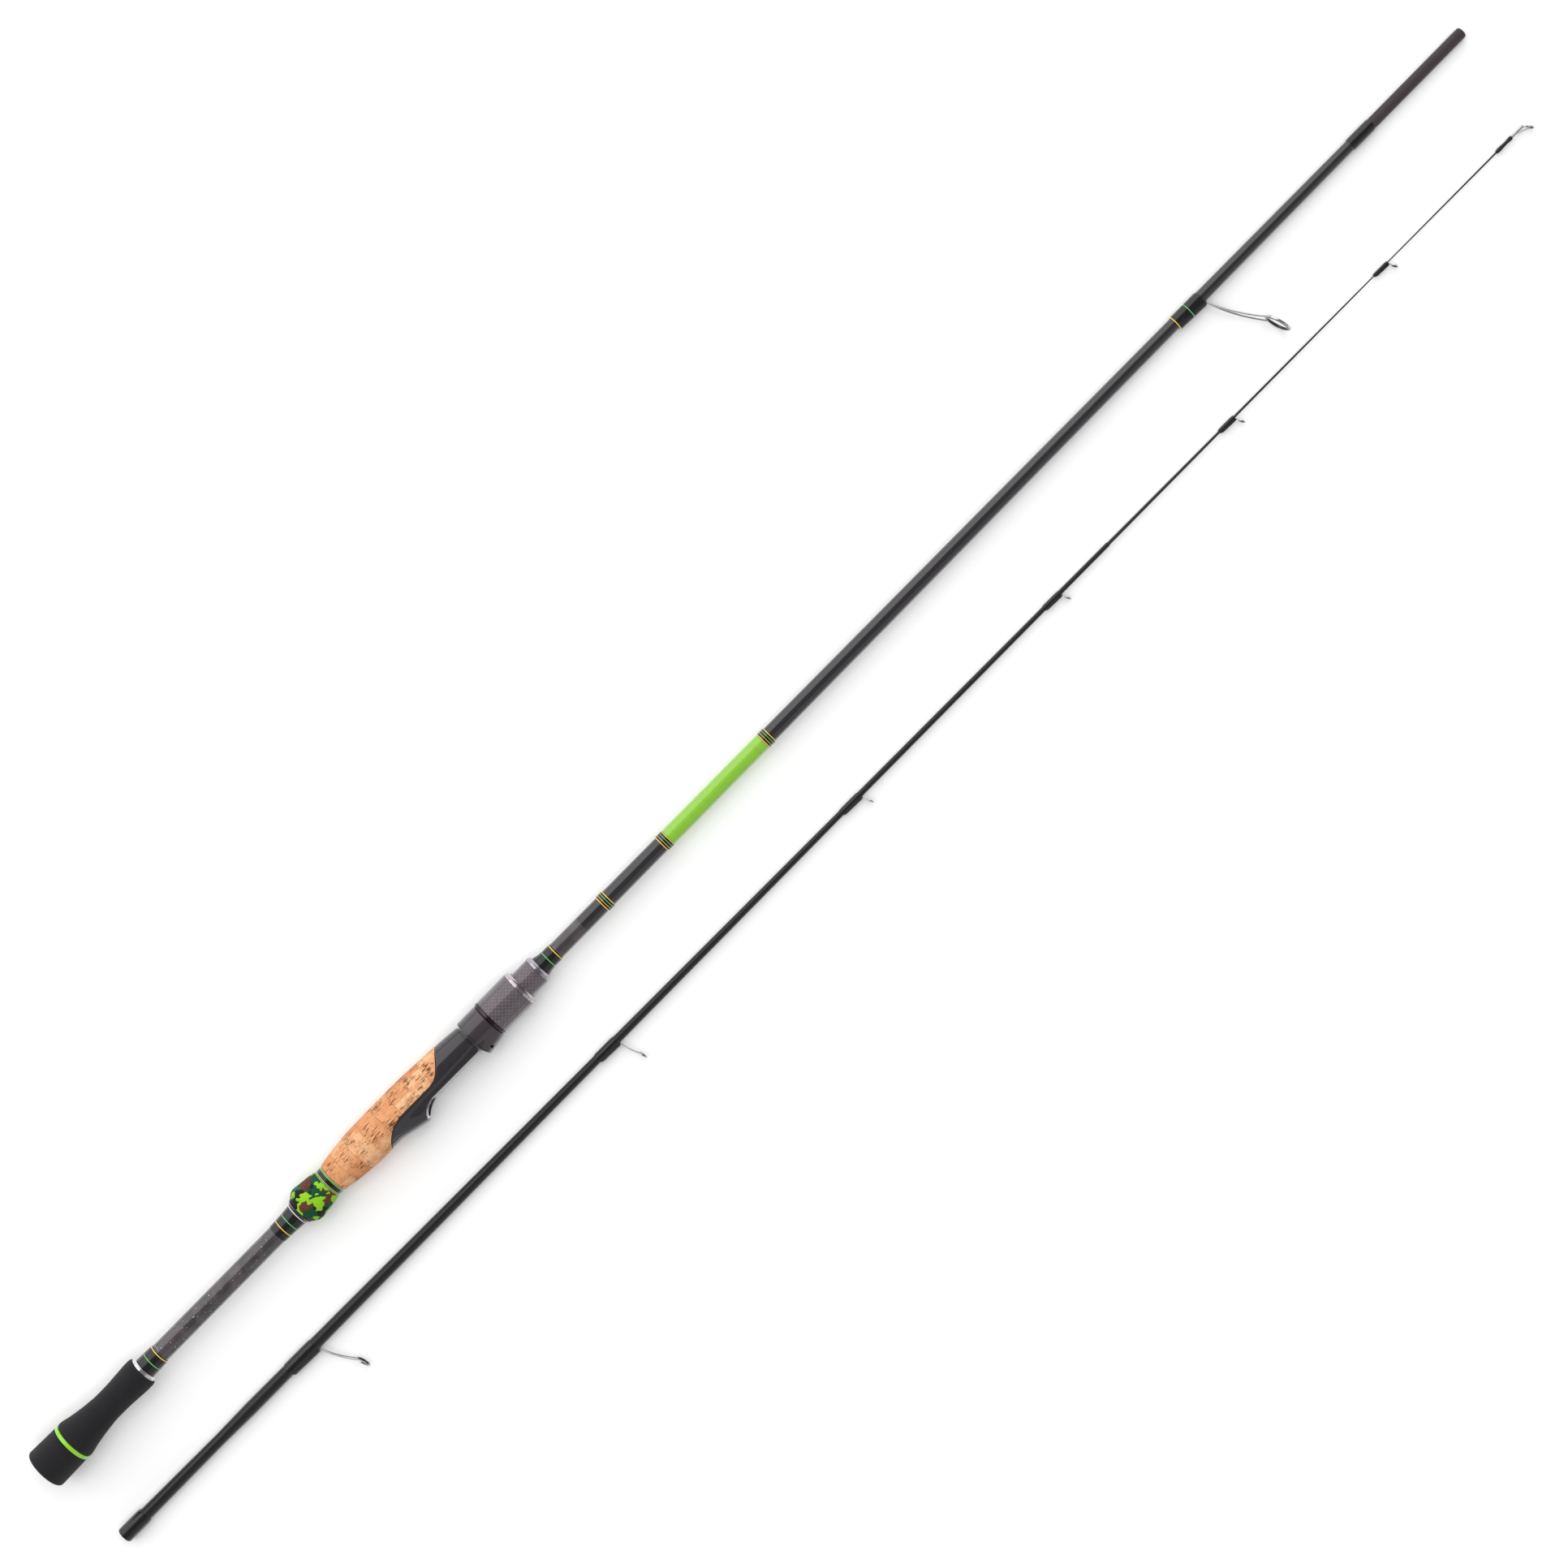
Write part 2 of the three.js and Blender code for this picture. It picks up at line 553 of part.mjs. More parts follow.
// Cork grip and seat share one outline, from the cork's rear end to the seat's front end.
const handOutline = smooth([
  [0, CORK_REAR_RADIUS],
  [SEAT_START * 0.28, CORK_REAR_RADIUS + (CORK_RADIUS - CORK_REAR_RADIUS) * 0.5],
  [SEAT_START * 0.64, CORK_RADIUS - 0.25],
  [SEAT_START, CORK_RADIUS],
  [SEAT_START + SEAT_LENGTH * 0.38, CORK_RADIUS],
  [SEAT_START + SEAT_LENGTH * 0.69, CORK_RADIUS - 1.15],
  [SEAT_START + SEAT_LENGTH * 0.84, CORK_RADIUS - 1.75],
  [SEAT_START + SEAT_LENGTH, SEAT_FRONT_RADIUS],
], 21);

// The side of the hand grip that the seat takes up, in the seat's own stations: below a curve that
// rises from the fixed hood, runs level under the palm and sweeps up and over the top.
function seatSide() {
  const beyond = HOOD_DEPTH + CORK_RADIUS;
  const top = CORK_RADIUS + 4;
  const along = (share) => SEAT_LENGTH * share;
  const shape = new THREE.Shape();
  shape.moveTo(-3, -beyond);
  shape.lineTo(-3, -CORK_RADIUS - 3.7);
  shape.bezierCurveTo(4.5, -BED_DEPTH - 0.3, 11, -PALM_LEVEL, 23, -PALM_LEVEL);
  shape.lineTo(along(0.543), -PALM_LEVEL);
  shape.bezierCurveTo(
    along(0.654), -PALM_LEVEL,
    along(0.704), 2.5,
    along(SEAT_TOP_SHARE - 0.044), CORK_RADIUS - 1.2,
  );
  shape.lineTo(along(SEAT_TOP_SHARE), top);
  shape.lineTo(SEAT_LENGTH + BARREL_LENGTH, top);
  shape.lineTo(SEAT_LENGTH + BARREL_LENGTH, -beyond);
  shape.closePath();
  return sideways(shape, 2 * beyond, 8);
}

// The space a reel foot and its stem need: below the bed and ahead of the fixed hood's mouth.
function footSpace() {
  const beyond = HOOD_DEPTH + CORK_RADIUS;
  const shape = new THREE.Shape();
  shape.moveTo(HOOD_LIP_AT, -beyond);
  shape.lineTo(HOOD_LIP_AT, -HOOD_DEPTH);
  const mouthEnd = HOOD_LIP_AT + HOOD_MOUTH_LENGTH;
  shape.quadraticCurveTo(HOOD_LIP_AT + 2.5, -BED_DEPTH - 1.6, mouthEnd, -BED_DEPTH);
  shape.lineTo(SEAT_LENGTH + 1, -BED_DEPTH);
  shape.lineTo(SEAT_LENGTH + 1, -beyond);
  shape.closePath();
  return sideways(shape, 2 * beyond, 6);
}

function addCorkAndSeat(parent) {
  const corkOutline = handOutline.filter(([x]) => x < CORK_LENGTH);
  const cork = onBlank(BUTT_TAPER, corkAt, corkOutline);
  const seatCut = seatSide().translate(SEAT_START - CORK_JOINT, CORK_JOINT, 0);
  piece(parent, 'cork_grip', 'cork', cut(cork, seatCut), corkAt);

  const seatOutline = handOutline
    .filter(([x]) => x > SEAT_START - 4)
    .map(([x, r]) => [x - SEAT_START, r]);
  const ramp = (HOOD_DEPTH - CORK_RADIUS) / (HOOD_LIP_AT - HOOD_RAMP_AT);
  const rampLength = HOOD_LIP_AT - HOOD_RAMP_AT;
  const seat = turnedSolid(seatOutline);
  swellUnderside(seat, (x) => ramp * THREE.MathUtils.clamp(x - HOOD_RAMP_AT, 0, rampLength));
  const pocketAt = HOOD_LIP_AT - POCKET_LENGTH;
  const mouthEnd = HOOD_LIP_AT + HOOD_MOUTH_LENGTH;
  const pocketArch = (shrink) => {
    const depth = [pocketAt, mouthEnd].map((x) => {
      return HOOD_DEPTH - BED_DEPTH - HOOD_WALL - shrink + ramp * (x - HOOD_LIP_AT);
    });
    return arch(pocketAt + shrink, mouthEnd, POCKET_HALF_WIDTH - shrink, ...depth);
  };
  const shell = cut(kept(seat, seatSide()), footSpace(), pocketArch(0));
  const barrelTo = SEAT_LENGTH + BARREL_LENGTH;
  const barrel = turnedSolid([[SEAT_LENGTH - 2, BARREL_RADIUS], [barrelTo, BARREL_RADIUS]]);
  const bore = turnedSolid([[-9, SEAT_BORE], [barrelTo + 1, SEAT_BORE]]);
  const keyway = box(
    SEAT_LENGTH + SLIDE_FIT, barrelTo + 1,
    BARREL_RADIUS - KEY_HEIGHT, BARREL_RADIUS + 2,
    -KEY_WIDTH / 2, KEY_WIDTH / 2,
  );
  piece(parent, 'reel_seat_body', 'gloss', cut(joined(shell, barrel), bore, keyway), seatAt);

  const linerTrim = footSpace().translate(LINER_PROUD, -LINER_PROUD / 3, 0);
  const liner = cut(pocketArch(BOND), pocketArch(BOND + LINER_WALL), linerTrim);
  const belowBed = box(
    pocketAt, mouthEnd + 1,
    -HOOD_DEPTH, -BED_DEPTH - BOND,
    -POCKET_HALF_WIDTH, POCKET_HALF_WIDTH,
  );
  piece(parent, 'fixed_hood_liner', 'steel', kept(liner, belowBed), seatAt);

  const arborAt = [seatEnd - ARBOR_LENGTH, barrelEnd - ARBOR_LENGTH - 2];
  ['rear', 'front'].forEach((place, i) => {
    const outline = [[0, SEAT_BORE - BOND], [ARBOR_LENGTH, SEAT_BORE - BOND]];
    piece(parent, `seat_arbor_${place}`, 'foam', onBlank(BUTT_TAPER, arborAt[i], outline), arborAt[i]);
  });
}

function addForeEnd(parent) {
  piece(parent, 'fore_sleeve', 'weave', onBlank(BUTT_TAPER, foreSleeveAt, [
    [0, FORE_SLEEVE_RADIUS],
    [FORE_SLEEVE_LENGTH, FORE_SLEEVE_RADIUS],
  ]), foreSleeveAt);
  piece(parent, 'fore_check_ring', 'steel', onBlank(BUTT_TAPER, foreCheckAt, [
    [0, FORE_SLEEVE_RADIUS + 0.1],
    [0.6, FORE_SLEEVE_RADIUS + 0.3],
    [FORE_CHECK_LENGTH * 0.5, FORE_SLEEVE_RADIUS],
    [FORE_CHECK_LENGTH, FORE_SLEEVE_RADIUS - 1.9],
  ]), foreCheckAt);
  piece(parent, 'fore_wrap', 'gloss', onBlank(BUTT_TAPER, foreWrapAt, [
    [0, FORE_BLANK_RADIUS + 1.7],
    [FORE_WRAP_LENGTH * 0.25, FORE_BLANK_RADIUS + 0.8],
    [FORE_WRAP_LENGTH * 0.5, FORE_BLANK_RADIUS + 0.45],
    [FORE_WRAP_LENGTH - 1, FORE_BLANK_RADIUS + 0.4],
    [FORE_WRAP_LENGTH, FORE_BLANK_RADIUS + BOND + 0.1],
  ]), foreWrapAt);

  BAND_STATIONS.forEach((station, i) => {
    const at = foreWrapEnd + station;
    const outline = wrapOutline(BUTT_TAPER, at, BAND_LENGTH);
    piece(parent, `trim_band_${i + 1}`, 'gloss', onBlank(BUTT_TAPER, at, outline), at);
  });
  const panelAt = foreWrapEnd + BAND_STATIONS[1] + BAND_LENGTH + BOND;
  const panelLength = BAND_STATIONS[2] - BAND_STATIONS[1] - BAND_LENGTH - 2 * BOND;
  const panelOutline = [0, panelLength].map((x) => {
    return [x, radiusOn(BUTT_TAPER, panelAt + x) + BOND + PANEL_WALL];
  });
  piece(parent, 'green_panel_sleeve', 'lime', onBlank(BUTT_TAPER, panelAt, panelOutline), panelAt);

  guide(parent, 'stripper_guide', BUTT_TAPER, BUTT_LENGTH, BUTT_ROUND, STRIPPER);
  const spigotWrapAt = spigotAt - SPIGOT_WRAP_LENGTH;
  const spigotOutline = wrapOutline(BUTT_TAPER, spigotWrapAt, SPIGOT_WRAP_LENGTH);
  piece(parent, 'spigot_wrap', 'gloss', onBlank(BUTT_TAPER, spigotWrapAt, spigotOutline), spigotWrapAt);
}

// The hood slides on the barrel, kept from turning by its key, and the nut screws up behind it.
function addMovingHood(parent) {
  const body = turnedSolid([
    [0, SLIDE_HOOD_RADIUS - 0.4],
    [0.4, SLIDE_HOOD_RADIUS],
    [2.4, SLIDE_HOOD_RADIUS],
    [SLIDE_HOOD_LENGTH / 2, SLIDE_HOOD_RADIUS + 0.1],
    [SLIDE_HOOD_LENGTH - 0.4, SLIDE_HOOD_RADIUS],
    [SLIDE_HOOD_LENGTH, SLIDE_HOOD_RADIUS - 0.4],
  ]);
  const easing = (x) => Math.max(0, x - 2.4) / (SLIDE_HOOD_LENGTH - 2.4);
  const dropAt = (x) => SLIDE_HOOD_DROP * (1 - 0.65 * easing(x));
  swellUnderside(body, dropAt);
  const seatBore = SEAT_FRONT_RADIUS + 0.5;
  const bore = turnedSolid([
    [-1, seatBore],
    [HOOD_COUNTERBORE, seatBore],
    [HOOD_COUNTERBORE, SLIDE_BORE],
    [SLIDE_HOOD_LENGTH + 1, SLIDE_BORE],
  ]);
  const pocketDepth = [0, SLIDE_HOOD_POCKET].map((x) => {
    return SLIDE_HOOD_RADIUS + dropAt(x) - BED_DEPTH - SLIDE_HOOD_WALL;
  });
  const pocket = arch(-1, SLIDE_HOOD_POCKET, POCKET_HALF_WIDTH - 0.6, ...pocketDepth);
  const lip = new THREE.Shape();
  lip.moveTo(-1, -BED_DEPTH - 0.4);
  lip.lineTo(0.2, -BED_DEPTH - 0.4);
  lip.lineTo(2.4, -SLIDE_HOOD_DEPTH - 0.5);
  lip.lineTo(-1, -SLIDE_HOOD_DEPTH - 0.5);
  lip.closePath();
  const key = box(
    HOOD_COUNTERBORE + 0.5, SLIDE_HOOD_LENGTH - 0.5,
    BARREL_RADIUS - KEY_HEIGHT + SLIDE_FIT, SLIDE_BORE + 0.5,
    -KEY_WIDTH / 2 + SLIDE_FIT, KEY_WIDTH / 2 - SLIDE_FIT,
  );
  const shell = cut(body, bore, pocket, sideways(lip, 4 * SLIDE_HOOD_RADIUS));
  piece(parent, 'moving_hood', 'gloss', joined(shell, key), slideHoodAt);
}

function addLockNut(parent) {
  const bored = (length) => [[0, SLIDE_BORE], [length, SLIDE_BORE]];
  piece(parent, 'nut_rear_ring', 'dark', turnedTube([
    [0, NUT_RADIUS - 0.5],
    [0.4, NUT_RADIUS - 0.1],
    [NUT_REAR_LENGTH, NUT_RADIUS - 0.1],
  ], bored(NUT_REAR_LENGTH)), nutRearAt);
  piece(parent, 'lock_nut', 'weave', turnedTube([
    [0, NUT_RADIUS],
    [NUT_LENGTH, NUT_RADIUS],
  ], bored(NUT_LENGTH)), nutAt);
  piece(parent, 'nut_front_ring', 'steel', turnedTube([
    [0, NUT_RADIUS],
    [NUT_FRONT_LENGTH * 0.3, NUT_RADIUS],
    [NUT_FRONT_LENGTH - 0.4, SLIDE_BORE + 0.9],
    [NUT_FRONT_LENGTH, SLIDE_BORE + 0.4],
  ], bored(NUT_FRONT_LENGTH)), nutFrontAt);
}

addBlankAndHandle(buttSection);
addCorkAndSeat(buttSection);
addForeEnd(buttSection);
addMovingHood(buttSection);
addLockNut(buttSection);

// ---------------------------------------------------------------- tip section

const tipSection = new THREE.Group();

function addTipBlank(parent) {
  const socketDepth = SPIGOT_LENGTH + 5;
  const hollowEnd = TIP_TAPER[4][0];
  const bore = [
    [0, SOCKET_BORE],
    [socketDepth, SOCKET_BORE],
    [TIP_TAPER[2][0], TIP_TAPER[2][1] - TIP_WALL],
    [hollowEnd, TIP_TAPER[4][1] - TIP_WALL],
    [hollowEnd + 5, 0],
  ];
  const end = TIP_TAPER[TIP_TAPER.length - 1][0];
  const profile = [...bore.reverse(), ...TIP_TAPER, [end, 0]];
  piece(parent, 'tip_blank', 'blank', turned(profile, TIP_ROUND));
}

function addTipTop(parent) {
  const tubeAt = TIP_LENGTH - TOP_RING * 0.8 - TOP_TUBE_LENGTH;
  const tubeEnd = tubeAt + TOP_TUBE_LENGTH;
  const wrapAt = tubeAt + TOP_TUBE_IN_WRAP - TOP_WRAP_LENGTH;
  const lean = THREE.MathUtils.degToRad(TOP_RING_LEAN);
  const radius = TOP_RING / 2;
  const centreAt = TIP_LENGTH - radius * Math.sin(lean) - TOP_RIM / 2;
  const centre = new THREE.Vector3(centreAt, -TOP_RING_DEPTH, 0);
  const ring = ringParts(radius, TOP_RIM, centre, lean);
  const tubeBore = radiusOn(TIP_TAPER, tubeAt) + BOND;
  const tube = turnedSolid([[tubeAt, TOP_TUBE_RADIUS], [tubeEnd, TOP_TUBE_RADIUS]], TIP_ROUND);
  const hole = turnedSolid([[tubeAt - 1, tubeBore], [tubeEnd - 1, tubeBore]], TIP_ROUND);
  const struts = [-1, 1].map((side) => {
    const angle = THREE.MathUtils.degToRad(TOP_STRUT_ANGLE);
    const reach = radius - TOP_STRUT_WIRE * 0.6;
    const end = new THREE.Vector3(
      centre.x - reach * Math.cos(angle) * Math.sin(lean),
      centre.y + reach * Math.cos(angle) * Math.cos(lean),
      side * reach * Math.sin(angle),
    );
    const start = new THREE.Vector3(
      tubeAt + TOP_STRUT_AT,
      -TOP_TUBE_RADIUS * 0.7,
      side * TOP_TUBE_RADIUS * 0.5,
    );
    return wire(new THREE.LineCurve3(start, end), TOP_STRUT_WIRE, 1);
  });
  const neck = wire(
    new THREE.LineCurve3(
      new THREE.Vector3(tubeEnd - 1.5, -TOP_TUBE_RADIUS * 0.3, 0),
      new THREE.Vector3(
        centre.x - radius * 0.9 * Math.sin(lean),
        centre.y + radius * 0.9 * Math.cos(lean),
        0,
      ),
    ),
    TOP_STRUT_WIRE, 1,
  );
  const frame = cut(joined(tube, neck, ...struts, ring.disc), ring.bore, hole);

  const step = tubeAt - wrapAt - BOND;
  const wall = WRAP_WALL * 0.7;
  const outer = TOP_TUBE_RADIUS + BOND + wall;
  const wrap = turnedTube([
    [0, radiusOn(TIP_TAPER, wrapAt) + BOND + wall],
    [2, outer],
    [TOP_WRAP_LENGTH - 1, outer],
    [TOP_WRAP_LENGTH, outer - 0.2],
  ], [
    [0, radiusOn(TIP_TAPER, wrapAt) + BOND],
    [step, radiusOn(TIP_TAPER, wrapAt + step) + BOND],
    [step, TOP_TUBE_RADIUS + BOND],
    [TOP_WRAP_LENGTH, TOP_TUBE_RADIUS + BOND],
  ], TIP_ROUND);
  piece(parent, 'tiptop_wrap', 'gloss', wrap, wrapAt);
  piece(parent, 'tiptop_frame', 'steel', frame);
  piece(parent, 'tiptop_ring', 'ceramic', ring.insert);
}

addTipBlank(tipSection);
const socketOutline = [
  [0, TIP_BASE_RADIUS + BOND + 0.2],
  [1, TIP_BASE_RADIUS + BOND + 0.75],
  [SOCKET_WRAP_LENGTH - 2.5, TIP_BASE_RADIUS + BOND + 0.75],
  [SOCKET_WRAP_LENGTH, TIP_BASE_RADIUS + BOND + 0.15],
];
piece(tipSection, 'socket_wrap', 'gloss', onBlank(TIP_TAPER, 0, socketOutline, TIP_ROUND));
RUNNING_GUIDES.forEach((spec, i) => {
  guide(tipSection, `guide_${i + 1}`, TIP_TAPER, TIP_LENGTH, TIP_ROUND, spec);
});
addTipTop(tipSection);

// ---------------------------------------------------------------- how the sections lie

// Each section rests on its thickest part and its far end, and rolls up until its largest ring
// just touches the surface too.
function layDown(section, rearAt, rearRadius, frontAt, frontRadius, ringAt, ringHeight, ringHalf) {
  const pitch = Math.asin((rearRadius - frontRadius) / (frontAt - rearAt));
  const axisHeight = rearRadius - (ringAt - rearAt) * Math.sin(pitch);
  const roll = -Math.asin(Math.max(0, ringHalf - axisHeight) / ringHeight);
  section.rotation.set(roll, pitch, section.rotation.z, 'ZYX');
}

function dropToSurface(section) {
  section.updateMatrixWorld(true);
  section.position.z -= new THREE.Box3().setFromObject(section, true).min.z;
}

layDown(
  buttSection,
  corkAt + SEAT_START + SEAT_LENGTH * 0.38, CORK_RADIUS,
  BUTT_LENGTH, SPIGOT_RADIUS,
  BUTT_LENGTH * STRIPPER.share + STRIPPER.ahead, STRIPPER.height, STRIPPER.ring / 2,
);
const firstGuide = RUNNING_GUIDES[0];
tipSection.rotation.z = THREE.MathUtils.degToRad(-TIP_SPLAY);
layDown(
  tipSection,
  SOCKET_WRAP_LENGTH, TIP_BASE_RADIUS + BOND + 0.75,
  TIP_LENGTH, TOP_RING / 2,
  TIP_LENGTH * firstGuide.share + firstGuide.ahead, firstGuide.height, firstGuide.ring / 2,
);
tipSection.position.set(TIP_BASE_AHEAD, -TIP_BASE_ASIDE, 0);
dropToSurface(buttSection);
dropToSurface(tipSection);

const group = new THREE.Group();
group.add(buttSection, tipSection);
group.updateMatrixWorld(true);
const extent = new THREE.Box3().setFromObject(group, true);
const middle = extent.getCenter(new THREE.Vector3());
group.position.set(-middle.x, -middle.y, -extent.min.z);

export default group;
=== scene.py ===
"""Looks for a two-piece spinning rod: the fine shapes and materials that stand for its CAD nodes.

Each section of the rod has its own frame, in millimetres: x runs along its axis from the butt end,
-y points to the side of the reel and guides, and the axis is y = z = 0.
"""

import json
import math

import bmesh  # noqa: E402
import bpy  # noqa: E402
import numpy as np  # noqa: E402
from mathutils import Matrix, Vector  # noqa: E402

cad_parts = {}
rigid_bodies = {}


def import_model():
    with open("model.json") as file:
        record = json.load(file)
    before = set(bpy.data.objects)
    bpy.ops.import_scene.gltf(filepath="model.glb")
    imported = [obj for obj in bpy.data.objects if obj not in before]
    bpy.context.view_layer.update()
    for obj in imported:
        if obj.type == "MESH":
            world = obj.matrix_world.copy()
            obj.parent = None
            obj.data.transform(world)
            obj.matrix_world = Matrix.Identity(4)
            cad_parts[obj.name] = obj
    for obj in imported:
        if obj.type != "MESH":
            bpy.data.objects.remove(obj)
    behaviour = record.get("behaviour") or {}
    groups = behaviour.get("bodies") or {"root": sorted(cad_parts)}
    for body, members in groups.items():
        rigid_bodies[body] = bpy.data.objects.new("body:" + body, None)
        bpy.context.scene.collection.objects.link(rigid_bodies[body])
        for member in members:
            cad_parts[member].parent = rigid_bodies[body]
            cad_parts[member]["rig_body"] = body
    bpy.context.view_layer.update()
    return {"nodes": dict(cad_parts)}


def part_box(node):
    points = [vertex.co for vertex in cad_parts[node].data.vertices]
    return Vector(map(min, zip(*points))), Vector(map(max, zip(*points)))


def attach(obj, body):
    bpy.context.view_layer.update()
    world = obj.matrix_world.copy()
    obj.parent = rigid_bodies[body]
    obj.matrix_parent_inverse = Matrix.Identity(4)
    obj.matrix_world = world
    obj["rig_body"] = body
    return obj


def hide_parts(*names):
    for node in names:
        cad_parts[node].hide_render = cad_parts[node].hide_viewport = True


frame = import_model()

MM = 0.001

# Sizes that the fine shapes share with the CAD model, in millimetres.
BUTT_BLANK_FROM = 4.1
SEAT_START = 37.5
SEAT_LENGTH = 81.0
CORK_RADIUS = 13.75
CORK_REAR_RADIUS = 10.5
CORK_JOINT = 0.25
SEAT_TOP_SHARE = 0.84
PALM_LEVEL = 4.2
SEAT_BORE = 8.0
BARREL_RADIUS = 9.8
BARREL_LENGTH = 38.0
BED_DEPTH = 9.9
HOOD_DEPTH = 18.2
HOOD_LIP_AT = 29.0
HOOD_MOUTH_LENGTH = 11.5
HOOD_RAMP_AT = 9.0
HOOD_WALL = 1.6
POCKET_LENGTH = 9.0
POCKET_HALF_WIDTH = 7.6
LINER_WALL = 0.8
LINER_PROUD = 0.7
LINER_GAP = 0.1
SLIDE_BORE = 10.1
SLIDE_HOOD_RADIUS = 12.2
SLIDE_HOOD_DROP = 3.4
SLIDE_HOOD_WALL = 0.8
SLIDE_HOOD_POCKET = 11.0
HOOD_COUNTERBORE = 5.5
SEAT_FRONT_BORE = 11.2
LEG_ANGLE = math.radians(50)
KEY_WIDTH = 3.0
KEY_HEIGHT = 0.9
SEAT_END_RADIUS = 10.7
TOP_TUBE_RADIUS = 1.05
TOP_TUBE_LENGTH = 15.0

# Sizes of what only the fine shapes have, in millimetres.
SIDES = 144
GUIDE_SIDES = 96
TIPTOP_SIDES = 64
THREAD_PITCH = 2.0
THREAD_DEPTH = 0.4
HOOD_EDGE = 0.4
HOOD_FLAT = 2.4
HOOD_HOLE_AT = 6.2  # a small oval recess in the moving hood's side, from its rear end
HOOD_HOLE_ANGLE = math.radians(68)
HOOD_HOLE_DEPTH = 1.4
HOOD_HOLE_HALF = (1.5, 1.1)
SEAT_VOXEL = 0.32
HOOD_VOXEL = 0.25

FACET_FIT = 0.9985  # keeps a true circle inside the CAD solid's polygon
HOOP_FIT = 0.986  # the same for the small, coarse hoops of the guides
SKIN_FIT = 0.02  # how far the grips stay below the CAD solid's face
TINY = 1e-9


# ---------------------------------------------------------------- camera, light and floor


LENS = 76.4
SENSOR = 36
CAMERA_AT = (-0.0030, 0.0142, 2.06)
CAMERA_TURN = math.radians(-45.435)
CAMERA_REACH = 20
FLOOR_HALF = 9.0
FLOOR_DROP = 0.0004
FLOOR_WHITE = (0.95, 0.95, 0.95, 1)
WORLD_STRENGTH = 0.22

# Light panels along the rod: name, low and high edge as (y, z), length, power, shown in the gloss.
SOFTBOXES = (
    ("key_softbox", (3.3, 0.26), (1.1, 2.82), 7.4, 102, True),
    ("low_fill", (-3.4, 0.26), (-2.2, 2.6), 7.0, 20, True),
    ("top_softbox", (-1.8, 4.2), (1.8, 4.2), 5.2, 135, False),
)


def placed(name, data):
    """A new object in the scene."""
    made = bpy.data.objects.new(name, data)
    bpy.context.scene.collection.objects.link(made)
    return made


def add_camera():
    data = bpy.data.cameras.new("camera")
    data.lens = LENS
    data.sensor_width = SENSOR
    data.clip_end = CAMERA_REACH
    camera = placed("camera", data)
    camera.location = CAMERA_AT
    camera.rotation_euler = (0, 0, CAMERA_TURN)
    bpy.context.scene.camera = camera


def add_softbox(name, low_edge, high_edge, length, power, glossy):
    """A light panel that faces the rod from between its two long edges."""
    low, high = Vector((0, *low_edge)), Vector((0, *high_edge))
    data = bpy.data.lights.new(name, "AREA")
    data.shape = "RECTANGLE"
    data.size = length
    data.size_y = (high - low).length
    data.energy = power
    lamp = placed(name, data)
    across = (high - low).normalized()
    along = Vector((1, 0, 0))
    facing = along.cross(across)
    centre = (low + high) / 2
    if facing.dot(centre) < 0:
        along = -along
        facing = -facing
    turn = Matrix((along, across, facing)).transposed().to_4x4()
    lamp.matrix_world = Matrix.Translation(centre) @ turn
    lamp.visible_camera = False
    lamp.visible_glossy = glossy


def add_stage():
    mesh = bpy.data.meshes.new("floor")
    turns = ((-1, -1), (1, -1), (1, 1), (-1, 1))
    mesh.from_pydata([(x * FLOOR_HALF, y * FLOOR_HALF, 0) for x, y in turns], [], [(0, 1, 2, 3)])
    floor = placed("floor", mesh)
    floor.location.z = -FLOOR_DROP
    paper = Look("pale_floor", Matrix.Identity(4), 0.7)
    paper.shader.inputs["Base Color"].default_value = FLOOR_WHITE
    paper.bump(paper.noise(paper.place(), 0.15, 3), 0.03)
    mesh.materials.append(paper.material)
    world = bpy.data.worlds.new("world")
    world.use_nodes = True
    sky = world.node_tree.nodes["Background"].inputs
    sky["Color"].default_value = (1, 1, 1, 1)
    sky["Strength"].default_value = WORLD_STRENGTH
    bpy.context.scene.world = world
    bpy.context.scene.view_settings.view_transform = "Standard"
    for softbox in SOFTBOXES:
        add_softbox(*softbox)


# ---------------------------------------------------------------- materials


OBJECT_OUTPUT = 3  # of a Texture Coordinate node


def linear(colour):
    """The shader's values, with alpha, of a colour in display values from 0 to 255."""
    return (*(((c / 255 + 0.055) / 1.055) ** 2.4 if c > 10 else c / 3295 for c in colour), 1)


